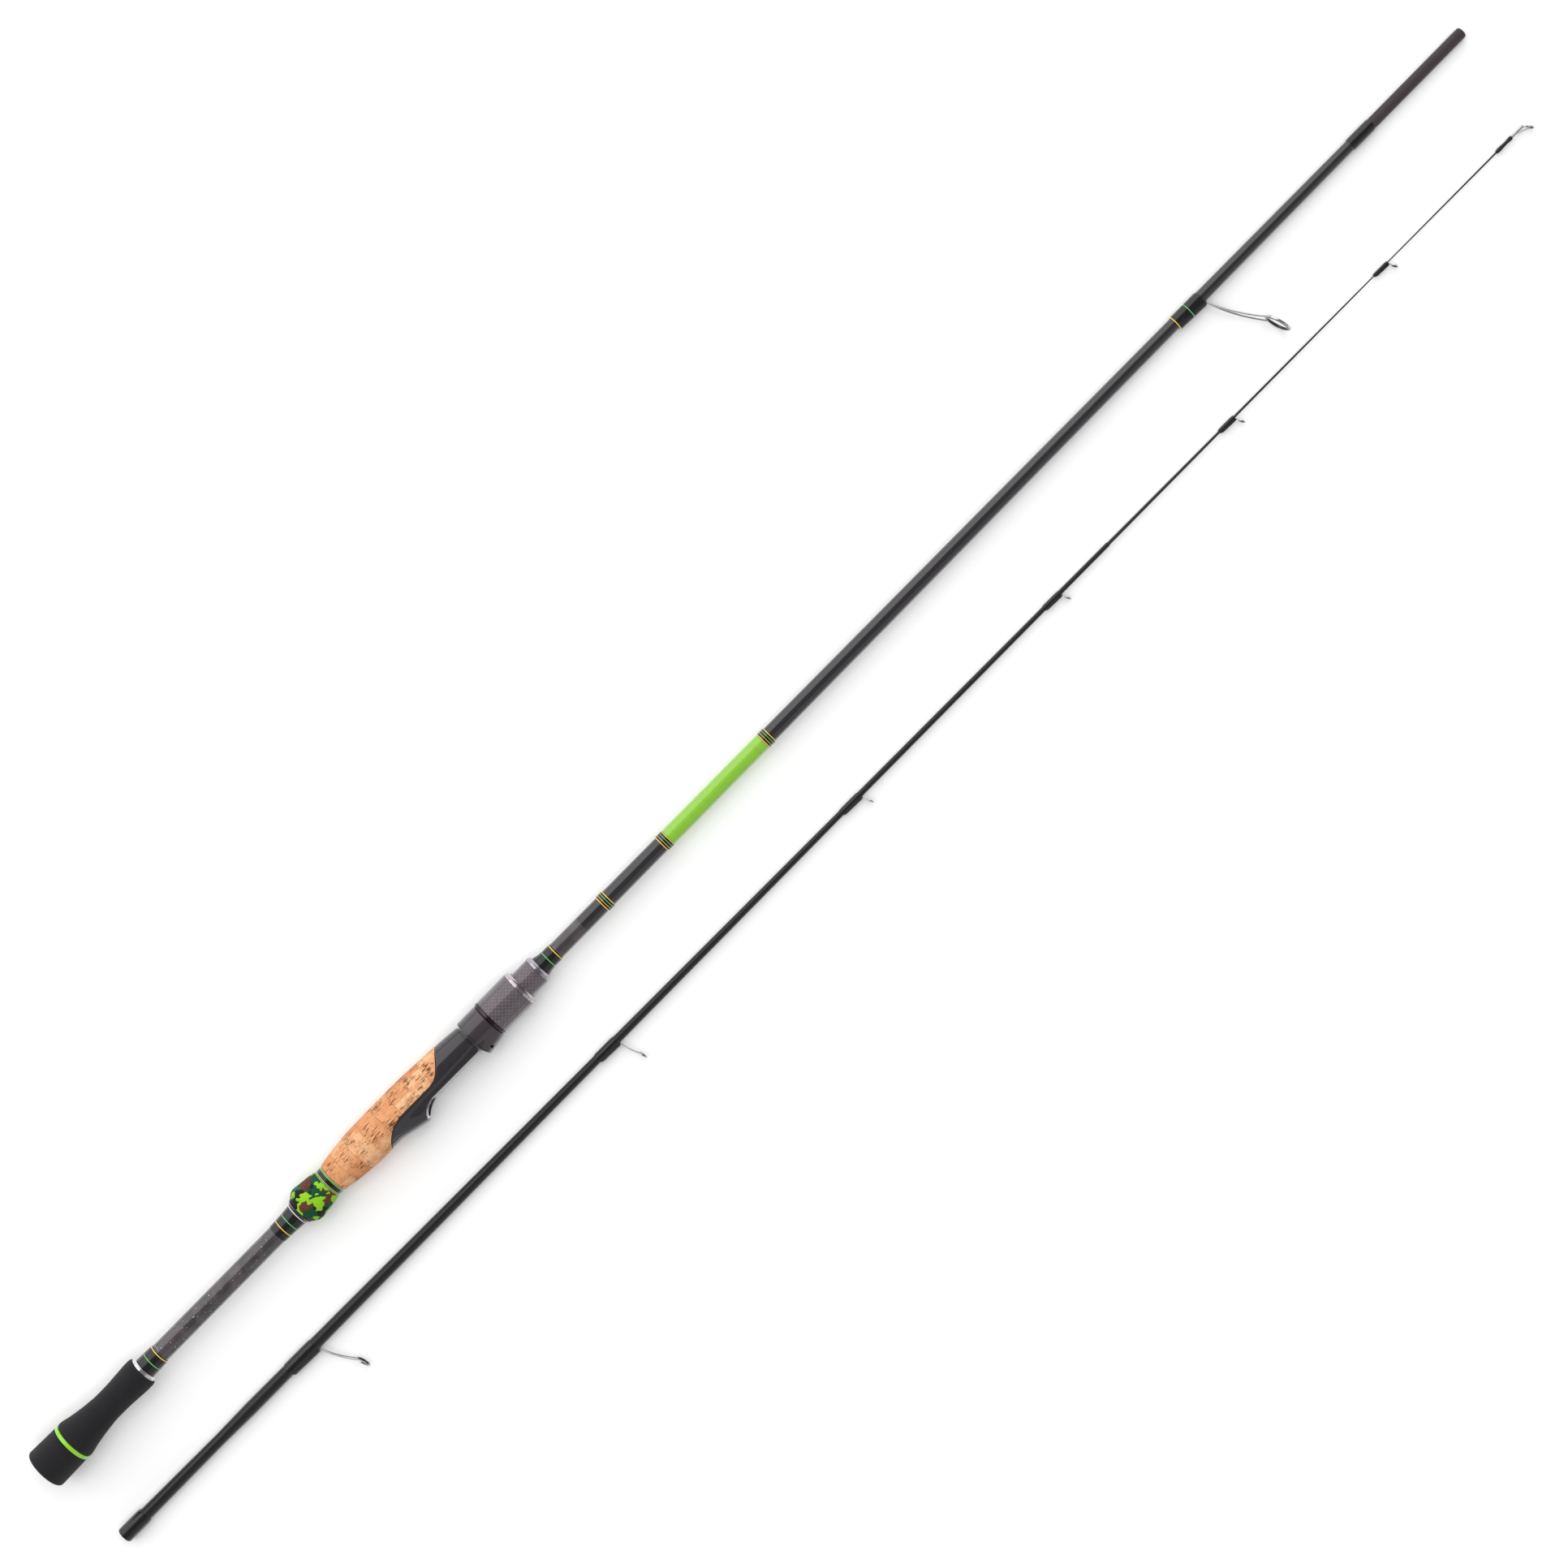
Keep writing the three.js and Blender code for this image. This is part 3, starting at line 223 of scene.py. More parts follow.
class Look:
    """A material whose nodes are put together by short calls.

    Lengths are in millimetres in the section's frame, and colours are display values from 0 to 255.
    """

    def __init__(self, name, section, roughness, **sockets):
        self.material = bpy.data.materials.new(name)
        self.section = section
        self.material.use_nodes = True
        self.tree = self.material.node_tree
        self.shader = self.tree.nodes["Principled BSDF"]
        self.shader.inputs["Roughness"].default_value = roughness
        for key, value in sockets.items():
            socket = key.replace("_", " ").title().replace("Ior", "IOR")
            self.shader.inputs[socket].default_value = value

    def node(self, kind, inputs=(), output=0, **settings):
        made = self.tree.nodes.new("ShaderNode" + kind)
        for key, value in settings.items():
            setattr(made, key, value)
        for key, value in dict(inputs).items():
            if isinstance(value, bpy.types.NodeSocket):
                self.tree.links.new(value, made.inputs[key])
            else:
                made.inputs[key].default_value = value
        return made.outputs[output]

    def math(self, operation, first, second=0.0, third=0.0):
        return self.node("Math", {0: first, 1: second, 2: third}, operation=operation)

    def times(self, first, second):
        return self.math("MULTIPLY", first, second)

    def plus(self, first, second):
        return self.math("ADD", first, second)

    def minus(self, first, second):
        return self.math("SUBTRACT", first, second)

    def below(self, value, limit):
        return self.math("LESS_THAN", value, limit)

    def above(self, value, limit):
        return self.math("GREATER_THAN", value, limit)

    def place(self):
        """Where a point is in the section's frame, in millimetres."""
        own = self.node("TexCoord", output=OBJECT_OUTPUT)
        off = self.node("VectorMath", {0: own, 1: self.section.translation}, operation="SUBTRACT")
        along = []
        for column in range(3):
            axis = tuple(self.section.col[column].xyz / MM)
            along.append(self.node("VectorMath", {0: off, 1: axis}, 1, operation="DOT_PRODUCT"))
        return self.vector(*along)

    def parts(self, vector):
        made = self.tree.nodes.new("ShaderNodeSeparateXYZ")
        self.tree.links.new(vector, made.inputs[0])
        return made.outputs

    def vector(self, x, y, z):
        return self.node("CombineXYZ", {0: x, 1: y, 2: z})

    def round_place(self, radius):
        """Along the axis, and round the axis as a length at that radius."""
        x, y, z = self.parts(self.place())
        return x, self.times(self.math("ARCTAN2", z, y), radius)

    def noise(self, vector, scale, detail=2.0, distortion=0.0):
        settings = {"Vector": vector, "Scale": scale, "Detail": detail, "Distortion": distortion}
        return self.node("TexNoise", settings)

    def drawn(self, x, along, around, across, detail):
        """Noise drawn out as fibre and tape are: its own scale along the axis and round it."""
        place = self.vector(self.times(x, along), self.times(around, across), 0.0)
        return self.noise(place, 1.0, detail)

    def banded(self, x, scale, detail):
        """Noise that changes only along the axis."""
        return self.noise(self.vector(x, 0.0, 0.0), scale, detail)

    def cells(self, vector, scale, output="Distance", **settings):
        inputs = {"Vector": vector, "Scale": scale}
        return self.node("TexVoronoi", inputs, output, **settings)

    def moved(self, vector, distance):
        return self.node("VectorMath", {0: vector, 1: distance}, operation="ADD")

    def steps(self, value, stops):
        """One of several colours for a value, from (place, colour) stops."""
        made = self.tree.nodes.new("ShaderNodeValToRGB")
        ramp = made.color_ramp
        ramp.interpolation = "CONSTANT"
        while len(ramp.elements) < len(stops):
            ramp.elements.new(0.5)
        for element, (at, _) in zip(ramp.elements, stops):
            element.position = at
        for element, (_, colour) in zip(ramp.elements, stops):
            element.color = linear(colour)
        self.tree.links.new(value, made.inputs[0])
        return made.outputs[0]

    def between(self, value, low, high):
        """0 below low, 1 above high, and smooth between."""
        made = {"Value": value, "From Min": low, "From Max": high}
        return self.node("MapRange", made, interpolation_type="SMOOTHSTEP")

    def mix(self, share, first, second):
        made = self.tree.nodes.new("ShaderNodeMix")
        made.data_type = "RGBA"
        for key, value in ((0, share), (6, first), (7, second)):
            if isinstance(value, tuple):
                made.inputs[key].default_value = linear(value)
            else:
                self.tree.links.new(value, made.inputs[key])
        return made.outputs[2]

    def near(self, x, at, half):
        """1 within half of a place along x."""
        return self.below(self.math("ABSOLUTE", self.minus(x, at)), half)

    def colour(self, value):
        self.feed("Base Color", value)

    def feed(self, key, value):
        self.tree.links.new(value, self.shader.inputs[key])

    def relief(self, height, distance):
        """A normal for relief whose full height is distance."""
        return self.node("Bump", {"Height": height, "Distance": distance * MM, "Strength": 1.0})

    def bump(self, height, distance):
        self.feed("Normal", self.relief(height, distance))


def foam_look(section):
    sheen = {"sheen_weight": 0.05, "sheen_roughness": 0.6}
    look = Look("eva_foam", section, 0.85, specular_ior_level=0.3, **sheen)
    place = look.place()
    cells = look.noise(place, 5.0, 5)
    broad = look.noise(place, 0.12, 3)
    tone = look.mix(broad, (22, 20, 23), (29, 27, 30))
    grain = look.mix(look.between(cells, 0.45, 0.75), tone, (40, 38, 41))
    fleck = look.below(look.cells(place, 0.55), 0.05)
    look.colour(look.mix(fleck, grain, (74, 72, 75)))
    look.bump(cells, 0.22)
    return look.material


def lime_look(section):
    look = Look("lime_gloss", section, 0.16, coat_weight=0.6, coat_roughness=0.05)
    place = look.place()
    x, _ = look.round_place(1)
    swirl = look.banded(x, 3.0, 2)
    look.colour(look.mix(swirl, (118, 190, 30), (150, 215, 50)))
    look.bump(look.noise(place, 1.2, 3), 0.015)
    return look.material


def metal_look(name, section, low, high, roughness):
    """A turned and polished metal ring, with the fine lines of the lathe."""
    look = Look(name, section, roughness, metallic=1.0)
    place = look.place()
    look.colour(look.mix(look.noise(place, 0.6, 3), low, high))
    look.bump(look.banded(look.parts(place)[0], 14.0, 3), 0.02)
    return look.material


SMOKY_TO = 470.0  # the blank is a lighter, smoky grey up to here
GLITTER_FROM, GLITTER_TO = 101.4, 203.4
MATTE_FROM = 1164.0  # the spigot has no lacquer
GLOSS_ROUGHNESS = 0.14
FLAKE_LAYERS = ((0.0, 0.62), (37.0, 0.38))  # each layer's shift along the rod, and its scale
FLAKE_SHADES = [
    (0.0, (235, 240, 235)),
    (0.5, (120, 220, 120)),
    (0.72, (245, 215, 110)),
    (0.9, (150, 220, 235)),
]


def with_glitter(look, place, x, tone):
    """Adds bright flakes in clusters, between the two wraps of the handle."""
    inside = look.times(look.above(x, GLITTER_FROM), look.below(x, GLITTER_TO))
    crowd = look.between(look.noise(place, 0.09, 2), 0.35, 0.65)
    for shift, scale in FLAKE_LAYERS:
        at = look.moved(place, (shift, 0, 0))
        near = look.below(look.cells(at, scale), 0.1)
        pick = look.parts(look.cells(at, scale, "Color"))
        chosen = look.below(pick[0], look.math("MULTIPLY_ADD", crowd, 0.45, 0.25))
        shown = look.times(look.times(near, chosen), inside)
        tone = look.mix(shown, tone, look.steps(pick[1], FLAKE_SHADES))
    return tone


def blank_look(section):
    """Graphite under clear lacquer, with the faint rings of its wrapping tape under the gloss."""
    lacquer = {"coat_weight": 1.0, "coat_roughness": 0.04, "coat_ior": 1.6}
    look = Look("graphite_butt", section, GLOSS_ROUGHNESS, specular_ior_level=0.2, **lacquer)
    place = look.place()
    x, around = look.round_place(5)
    rings = look.drawn(x, 1.6, around, 0.05, 3)
    fibre = look.drawn(x, 0.05, around, 6.0, 3)
    dark = look.mix(rings, (24, 22, 24), (35, 32, 35))
    tone = look.mix(look.times(fibre, 0.5), dark, (46, 42, 47))
    smoke = look.between(look.noise(place, 0.11, 3, 0.6), 0.3, 0.75)
    handle = look.mix(smoke, (54, 49, 51), (78, 71, 74))
    tone = look.mix(look.below(x, SMOKY_TO), tone, handle)
    tone = with_glitter(look, place, x, tone)
    matte = look.above(x, MATTE_FROM)
    look.colour(look.mix(matte, tone, look.mix(fibre, (52, 45, 48), (72, 64, 67))))
    look.feed("Coat Weight", look.minus(1.0, matte))
    look.feed("Roughness", look.math("MULTIPLY_ADD", matte, 0.3, GLOSS_ROUGHNESS))
    look.bump(look.plus(look.noise(place, 0.25, 2), look.times(rings, 0.12)), 0.1)
    return look.material


GREEN_THREAD = (105, 205, 115)
GOLD_THREAD = (240, 198, 78)
SILVER_THREAD = (205, 205, 208)
LIME_THREAD = (176, 224, 110)
BLACK_THREAD = (11, 10, 12)
CONE_BLACK = (34, 31, 35)
THREAD_TURN = 0.28  # from one turn of the thread to the next


def wrap_look(name, section, lines=(), ground=BLACK_THREAD):
    """Fine thread under clear epoxy, with metallic trim turns at (place, half width, colour), and a
    painted highlight on the crest of each turn.
    """
    epoxy = {"coat_weight": 1.0, "coat_roughness": 0.03}
    look = Look(name, section, 0.35, specular_ior_level=0.1, **epoxy)
    x, around = look.round_place(6)
    turn = look.math("SINE", look.times(x, 2 * math.pi / THREAD_TURN))
    lay = look.drawn(x, 3.0, around, 0.2, 2)
    tone = look.mix(lay, ground, tuple(c + 13 for c in ground))
    # Painted highlight: the crest of each thread turn is coloured a little lighter, where the bump
    # is highest.
    tone = look.mix(look.between(turn, 0.2, 1.0), tone, tuple(c + 7 for c in ground))
    for at, half, colour in lines:
        tone = look.mix(look.near(x, at, half), tone, colour)
    look.colour(tone)
    look.bump(look.times(turn, 0.5), 0.02)
    look.feed("Coat Normal", look.relief(look.noise(look.place(), 0.3, 2), 0.12))
    return look.material


CAMO_SHIFT = (49.0, 97.0, 118.0)  # picks the part of the endless pattern that the grip shows
CAMO_BEND = (10.0, 10.0, 10.0)
CAMO_SCALE = 0.135
CAMO_SHADES = [
    (0.0, (104, 54, 42)),
    (0.2, (146, 208, 36)),
    (0.4, (14, 78, 50)),
    (0.58, (24, 22, 20)),
    (0.7, (146, 208, 36)),
    (0.82, (24, 112, 82)),
    (0.92, (14, 78, 50)),
]


def camo_look(section):
    look = Look("camouflage_foam", section, 0.6, specular_ior_level=0.2)
    place = look.place()
    warp = look.node("TexNoise", {"Vector": place, "Scale": 0.22, "Detail": 1.0}, output="Color")
    pulled = look.node("VectorMath", {0: warp, 1: CAMO_BEND}, operation="MULTIPLY")
    bent = look.moved(look.moved(place, pulled), CAMO_SHIFT)
    pick = look.parts(look.cells(bent, CAMO_SCALE, "Color"))
    flat = look.steps(pick[0], CAMO_SHADES)
    edge = look.cells(bent, CAMO_SCALE, feature="DISTANCE_TO_EDGE")
    outlined = look.mix(look.times(look.below(edge, 0.012), 0.35), flat, (24, 36, 24))
    grain = look.noise(place, 4.5, 4)
    look.colour(look.mix(look.times(grain, 0.25), outlined, (18, 22, 18)))
    look.bump(look.plus(grain, look.times(look.between(edge, 0.0, 0.06), 1.5)), 0.16)
    return look.material


CORK_BLOCK = (12.6, 15.5)  # along the axis and round it


def cork_blocks(look, place, x, around):
    """A shade for each glued block, the row's shift, and where the seams run."""
    length, width = CORK_BLOCK
    uneven = look.math("MULTIPLY_ADD", look.noise(place, 0.03, 1), 6.0, x)
    row = look.math("FLOOR", look.math("DIVIDE", uneven, length))
    shift = look.times(look.node("TexWhiteNoise", {"W": row}, noise_dimensions="1D"), width)
    shifted = look.plus(around, shift)
    column = look.math("FLOOR", look.math("DIVIDE", shifted, width))
    shade = look.node("TexWhiteNoise", {"Vector": look.vector(row, column, 0.0)})
    rippled = look.math("MULTIPLY_ADD", look.noise(place, 0.5, 2), 0.3, uneven)
    seam_x = look.below(look.math("PINGPONG", rippled, length / 2), 0.11)
    seam_a = look.below(look.math("PINGPONG", shifted, width / 2), 0.08)
    return shade, shift, look.times(look.math("MAXIMUM", seam_x, seam_a), 0.55)


def cork_holes(look, place, x, around, shade, shift):
    """Dark streaks in clusters along the axis, and small pits."""
    drawn = look.math("MULTIPLY_ADD", around, 1.7, shade)
    streak = look.noise(look.vector(look.times(x, 0.2), drawn, shift), 1.0, 4, 0.5)
    crowded = look.math("MULTIPLY_ADD", look.noise(place, 0.14, 2), -0.5, 0.87)
    veins = look.between(look.minus(streak, crowded), 0.0, 0.035)
    pits = look.between(look.noise(place, 1.3, 3, 1.0), 0.655, 0.69)
    return look.math("MAXIMUM", veins, look.times(pits, 0.8))


def cork_look(section, radius):
    look = Look("composite_cork", section, 0.78, specular_ior_level=0.3)
    place = look.place()
    x, around = look.round_place(radius)
    shade, shift, seams = cork_blocks(look, place, x, around)
    holes = cork_holes(look, place, x, around, shade, shift)
    grain = look.noise(place, 2.2, 6, 0.8)
    cloud = look.between(look.noise(place, 0.22, 4), 0.4, 0.7)
    tone = look.mix(look.between(shade, 0.0, 1.0), (236, 184, 138), (214, 146, 98))
    tone = look.mix(look.times(cloud, 0.5), tone, (196, 124, 80))
    tone = look.mix(look.times(look.between(grain, 0.5, 0.72), 0.55), tone, (170, 110, 68))
    tone = look.mix(seams, tone, (132, 78, 44))
    look.colour(look.mix(look.times(holes, 0.9), tone, (84, 44, 24)))
    depth = look.minus(look.times(grain, 0.35), holes)
    look.bump(look.minus(depth, look.times(seams, 0.5)), 0.25)
    return look.material


LACQUER = {"specular_ior_level": 0.3, "coat_weight": 1.0, "coat_roughness": 0.04}


def seat_look(section):
    look = Look("seat_gloss", section, 0.16, **{**LACQUER, "coat_weight": 0.8})
    place = look.place()
    smudge = look.noise(place, 0.35, 4)
    look.colour(look.mix(smudge, (34, 32, 36), (44, 41, 46)))
    look.feed("Roughness", look.math("MULTIPLY_ADD", look.noise(place, 1.5, 4), 0.16, 0.1))
    look.bump(smudge, 0.06)
    return look.material


def hood_look(section, lip_at):
    """Dark violet lacquer on metal, brushed round the axis, with a groove at its rear lip that is
    painted near black as painted shade.
    """
    look = Look("hood_lacquer", section, 0.3, **LACQUER)
    place = look.place()
    x, y, z = look.parts(place)
    fine = look.vector(look.times(x, 9.0), look.times(y, 0.15), look.times(z, 0.15))
    brushed = look.noise(fine, 1.0, 3)
    lip = look.near(x, lip_at, 0.2)
    # Painted shade: the groove at the rear lip is coloured near black as well as cut in by the
    # bump.
    look.colour(look.mix(lip, look.mix(brushed, (40, 33, 38), (58, 49, 55)), (10, 9, 10)))
    relief = look.plus(look.times(brushed, 0.2), look.noise(place, 0.4, 2))
    look.bump(look.minus(relief, look.times(lip, 4.0)), 0.04)
    return look.material


def clouded_look(name, section, roughness, shades, cloud, grain, height, **sockets):
    """A soft cloud between two shades, with fine relief. Both scales are for noise."""
    look = Look(name, section, roughness, **sockets)
    place = look.place()
    look.colour(look.mix(look.noise(place, cloud, 4), *shades))
    look.bump(look.noise(place, *grain), height)
    return look.material


def chrome_look(name, section):
    """Polished metal, a little dark so that it stands out from the pale ground."""
    shades = ((175, 174, 178), (232, 231, 235))
    return clouded_look(name, section, 0.16, shades, 0.8, (3.0, 3), 0.02, metallic=1.0)


def ceramic_look(section):
    shades = ((22, 22, 25), (40, 40, 44))
    grain = (5.0, 2)
    return clouded_look("ring_ceramic", section, 0.12, shades, 2.0, grain, 0.008, coat_weight=0.4)


def tip_blank_look(section):
    """The tip section's satin black graphite, with fine rings left by its wrapping tape."""
    satin = {"coat_weight": 0.35, "coat_roughness": 0.08}
    look = Look("graphite_tip", section, 0.3, specular_ior_level=0.25, **satin)
    place = look.place()
    x, around = look.round_place(3)
    rings = look.drawn(x, 1.9, around, 0.05, 3)
    fibre = look.drawn(x, 0.06, around, 7.0, 3)
    dark = look.mix(rings, (20, 18, 20), (31, 29, 31))
    look.colour(look.mix(look.times(fibre, 0.5), dark, (38, 35, 38)))
    look.bump(look.plus(look.noise(place, 0.3, 2), look.times(rings, 0.15)), 0.06)
    return look.material


TOW = 1.5  # the width of one strand of the carbon cloth


def weave_look(name, section, radius):
    """Woven carbon cloth under gloss lacquer: short dark dashes that step along row by row."""
    look = Look(name, section, 0.28, **LACQUER)
    x, around = look.round_place(radius)
    u = look.math("DIVIDE", x, TOW)
    v = look.math("DIVIDE", around, TOW)
    step = look.plus(u, look.math("FLOOR", v))
    over = look.below(look.math("PINGPONG", step, 1.0), 0.5)
    middle = look.math("PINGPONG", v, 0.5)
    fibre = look.drawn(u, 1.2, v, 14.0, 2)
    cloud = look.between(look.noise(look.place(), 0.25, 3), 0.35, 0.7)
    ground = look.mix(fibre, (78, 70, 75), (96, 87, 93))
    ground = look.mix(look.times(cloud, 0.5), ground, (104, 95, 101))
    dash = look.times(over, look.between(middle, 0.16, 0.34))
    look.colour(look.mix(look.times(dash, 0.75), ground, (50, 44, 48)))
    look.bump(look.plus(look.times(over, 0.4), middle), 0.05)
    return look.material


def panel_look(section, start, end, radius):
    """Lime lacquer with a row of fine dark marks along its back."""
    look = Look("lime_panel", section, 0.2, coat_weight=1.0, coat_roughness=0.04)
    x, around = look.round_place(radius)
    flow = look.banded(x, 0.25, 2)
    fine = look.noise(look.place(), 1.4, 4)
    tone = look.mix(flow, (122, 182, 34), (138, 196, 46))
    tone = look.mix(look.times(look.between(fine, 0.45, 0.7), 0.3), tone, (112, 170, 30))
    slanted = look.math("MULTIPLY_ADD", around, 0.5, x)
    dash = look.below(look.math("PINGPONG", slanted, 1.6), 0.7)
    gap = look.above(look.banded(x, 0.1, 1), 0.44)
    within = look.near(x, (start + end) / 2, (end - start) * 0.36)
    row = look.near(around, 0.0, 1.9)
    shown = look.times(look.times(dash, gap), look.times(within, row))
    look.colour(look.mix(shown, tone, (30, 34, 26)))
    look.bump(look.noise(look.place(), 0.4, 3), 0.03)
    return look.material


# ---------------------------------------------------------------- section frames and CAD outlines


def corners(node):
    return np.array([v.co for v in frame["nodes"][node].data.vertices], float)


END_REACH = 0.35  # corners this near to an end of a blank belong to its end face


def section_place(blank, ring, blank_from):
    """A section's frame: its axis from the blank's two ends, its -y side from a guide's ring."""
    co = corners(blank)
    x = co[:, 0]
    ends = [co[np.abs(x - limit) < END_REACH * MM].mean(0) for limit in (x.min(), x.max())]
    axis = Vector(ends[1] - ends[0]).normalized()
    start = Vector(ends[0]) - axis * blank_from * MM
    low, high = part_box(ring)
    reach = (low + high) / 2 - start
    up = -(reach - axis * reach.dot(axis)).normalized()
    side = axis.cross(up)
    return Matrix.Translation(start) @ Matrix((axis, up, side)).transposed().to_4x4()


butt = section_place("butt_blank", "stripper_guide_ring", BUTT_BLANK_FROM)
tip = section_place("tip_blank", "guide_1_ring", 0.0)


def place_of(node):
    return tip if frame["nodes"][node]["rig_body"] == "tip_section" else butt


def local(node):
    """A CAD node's corners in its section's frame, in millimetres."""
    inverse = np.array(place_of(node).inverted())
    return (corners(node) @ inverse[:3, :3].T + inverse[:3, 3]) / MM


def span(node):
    x = local(node)[:, 0]
    return x.min(), x.max()


def cad_outline(node):
    """A turned node's outer outline as (x, radius) points, and its bore's two end radii."""
    co = local(node)
    x = np.round(co[:, 0] * 10) / 10
    radius = np.hypot(co[:, 1], co[:, 2])
    outer = [(co[x == at][:, 0].mean(), radius[x == at].max()) for at in sorted(set(x))]
    return outer, (radius[x == x.min()].min(), radius[x == x.max()].min())


# ---------------------------------------------------------------- shape helpers


def flowing(points, step):
    """A smooth line through (x, radius) points that never runs past them."""
    x, y = np.array(points, float).T
    h = np.diff(x)
    rise = np.diff(y) / h
    slope = np.zeros(len(x))
    slope[0], slope[-1] = rise[0], rise[-1]
    for i in range(1, len(x) - 1):
        if rise[i - 1] * rise[i] > 0:
            w0, w1 = 2 * h[i] + h[i - 1], h[i] + 2 * h[i - 1]
            slope[i] = (w0 + w1) / (w0 / rise[i - 1] + w1 / rise[i])
    line = [(x[0], y[0])]
    for i in range(len(h)):
        count = max(1, math.ceil(h[i] / step))
        for k in range(1, count + 1):
            t = k / count
            a, b = (1 + 2 * t) * (1 - t) ** 2, t * (1 - t) ** 2
            c, d = t * t * (3 - 2 * t), t * t * (t - 1)
            height = a * y[i] + b * h[i] * slope[i] + c * y[i + 1] + d * h[i] * slope[i + 1]
            line.append((x[i] + t * h[i], height))
    return line


def rounded(outline, fillet):
    """The outline with its first and last corner rounded."""
    x0, x1 = outline[0][0], outline[-1][0]
    fillet = min(fillet, (x1 - x0) / 3)
    xs, rs = np.array(outline).T
    low = float(np.interp(x0 + fillet, xs, rs))
    high = float(np.interp(x1 - fillet, xs, rs))
    start, end = [], []
    for angle in (math.radians(a) for a in (0, 18, 36, 54, 72, 90)):
        along, down = fillet * (1 - math.sin(angle)), fillet * (1 - math.cos(angle))
        start.append((x0 + along, low - down))
        end.append((x1 - along, high - down))
    middle = [(x, r) for x, r in outline if x0 + fillet < x < x1 - fillet]
    return start[::-1] + middle + end


def lathe(loop, sides=SIDES, shape=None):
    """Corners and faces of a closed (x, radius) loop turned about x. shape may move the corners."""
    loop = np.array(loop, float)
    angle = np.linspace(0, 2 * math.pi, sides, endpoint=False)
    x = np.repeat(loop[:, :1], sides, 1)
    y = loop[:, 1:] * np.cos(angle)
    z = loop[:, 1:] * np.sin(angle)
    co = np.stack([x, y, z], 2).reshape(-1, 3)
    if shape is not None:
        co = shape(co)
    faces = []
    count = len(loop)
    for i in range(count):
        j = (i + 1) % count
        for k in range(sides):
            m = (k + 1) % sides
            faces.append((i * sides + k, i * sides + m, j * sides + m, j * sides + k))
    return co, faces


def tube_loop(outline, bore):
    """A closed loop between an outer outline and a straight bore with radii (start, end)."""
    return [*outline, (outline[-1][0], bore[1]), (outline[0][0], bore[0])]


def sweep(points, widths, heights, sides=16, side_axis=(0, 0, 1)):
    """A tube along points with an oval section: widths along side_axis, heights across it."""
    points = [Vector(p) for p in points]
    co, faces = [], []
    for i, point in enumerate(points):
        ahead = (points[min(i + 1, len(points) - 1)] - points[max(i - 1, 0)]).normalized()
        wide = Vector(side_axis)
        wide = (wide - ahead * wide.dot(ahead)).normalized()
        tall = ahead.cross(wide)
        for k in range(sides):
            a = 2 * math.pi * k / sides
            co.append(point + wide * (widths[i] * math.cos(a)) + tall * (heights[i] * math.sin(a)))
    for i in range(len(points) - 1):
        for k in range(sides):
            m = (k + 1) % sides
            faces.append((i * sides + k, i * sides + m, (i + 1) * sides + m, (i + 1) * sides + k))
    faces.append(tuple(range(sides))[::-1])
    faces.append(tuple((len(points) - 1) * sides + k for k in range(sides)))
    return np.array([tuple(c) for c in co]), faces


def prism(outline, half_width):
    """A side-view outline in (x, y) given a width across z."""
    count = len(outline)
    co = [(x, y, side * half_width) for side in (-1, 1) for x, y in outline]
    faces = [tuple(range(count))[::-1], tuple(range(count, 2 * count))]
    faces += [(i, (i + 1) % count, (i + 1) % count + count, i + count) for i in range(count)]
    return np.array(co, float), faces


def arch(start, end, half_width, depth_start, depth_end, steps=40):
    """A space below the reel foot bed: flat on top, round underneath, deeper towards one end."""
    co, faces = [], []
    count = steps + 1
    for x, depth in ((start, depth_start), (end, depth_end)):
        for k in range(count):
            a = math.pi * k / steps
            co.append((x, -BED_DEPTH - depth * math.sin(a), half_width * math.cos(a)))
    faces += [tuple(range(count)), tuple(range(count, 2 * count))[::-1]]
    faces += [(k, k + count, (k + 1) % count + count, (k + 1) % count) for k in range(count)]
    return np.array(co, float), faces


def curve_points(start, *controls, count=16):
    """Points on a quadratic or cubic curve from start to the last control."""
    marks = [Vector(p) for p in (start, *controls)]
    out = []
    for k in range(1, count + 1):
        line = marks
        while len(line) > 1:
            line = [a.lerp(b, k / count) for a, b in zip(line, line[1:])]
        out.append(tuple(line[0]))
    return out


def mesh_of(name, shape):
    mesh = bpy.data.meshes.new(name)
    co, faces = shape
    mesh.from_pydata([tuple(c) for c in np.array(co) * MM], [], faces)
    work = bmesh.new()
    work.from_mesh(mesh)
    bmesh.ops.remove_doubles(work, verts=work.verts, dist=1e-7)
    bmesh.ops.recalc_face_normals(work, faces=work.faces)
    work.to_mesh(mesh)
    work.free()
    return mesh


def combined(first, *others):
    """Several shapes as the corners and faces of one."""
    co, faces = np.array(first[0]), list(first[1])
    for more_co, more_faces in others:
        faces += [tuple(i + len(co) for i in face) for face in more_faces]
        co = np.vstack([co, more_co])
    return co, faces


def applied(body):
    """The mesh that a helper object's modifiers make. The helper is removed."""
    bpy.context.view_layer.update()
    seen = body.evaluated_get(bpy.context.evaluated_depsgraph_get())
    result = bpy.data.meshes.new_from_object(seen)
    bpy.data.objects.remove(body)
    return result


def carved(shape, steps):
    """A shape after joining, cutting or keeping other shapes, as (operation, shape) steps."""
    body = placed("carved", mesh_of("carved", shape))
    helpers = []
    for operation, tool in steps:
        helpers.append(placed("tool", mesh_of("tool", tool)))
        modifier = body.modifiers.new("carve", "BOOLEAN")
        modifier.operation = operation
        modifier.solver = "EXACT"
        modifier.object = helpers[-1]
    result = applied(body)
    for helper in helpers:
        bpy.data.objects.remove(helper)
    return result


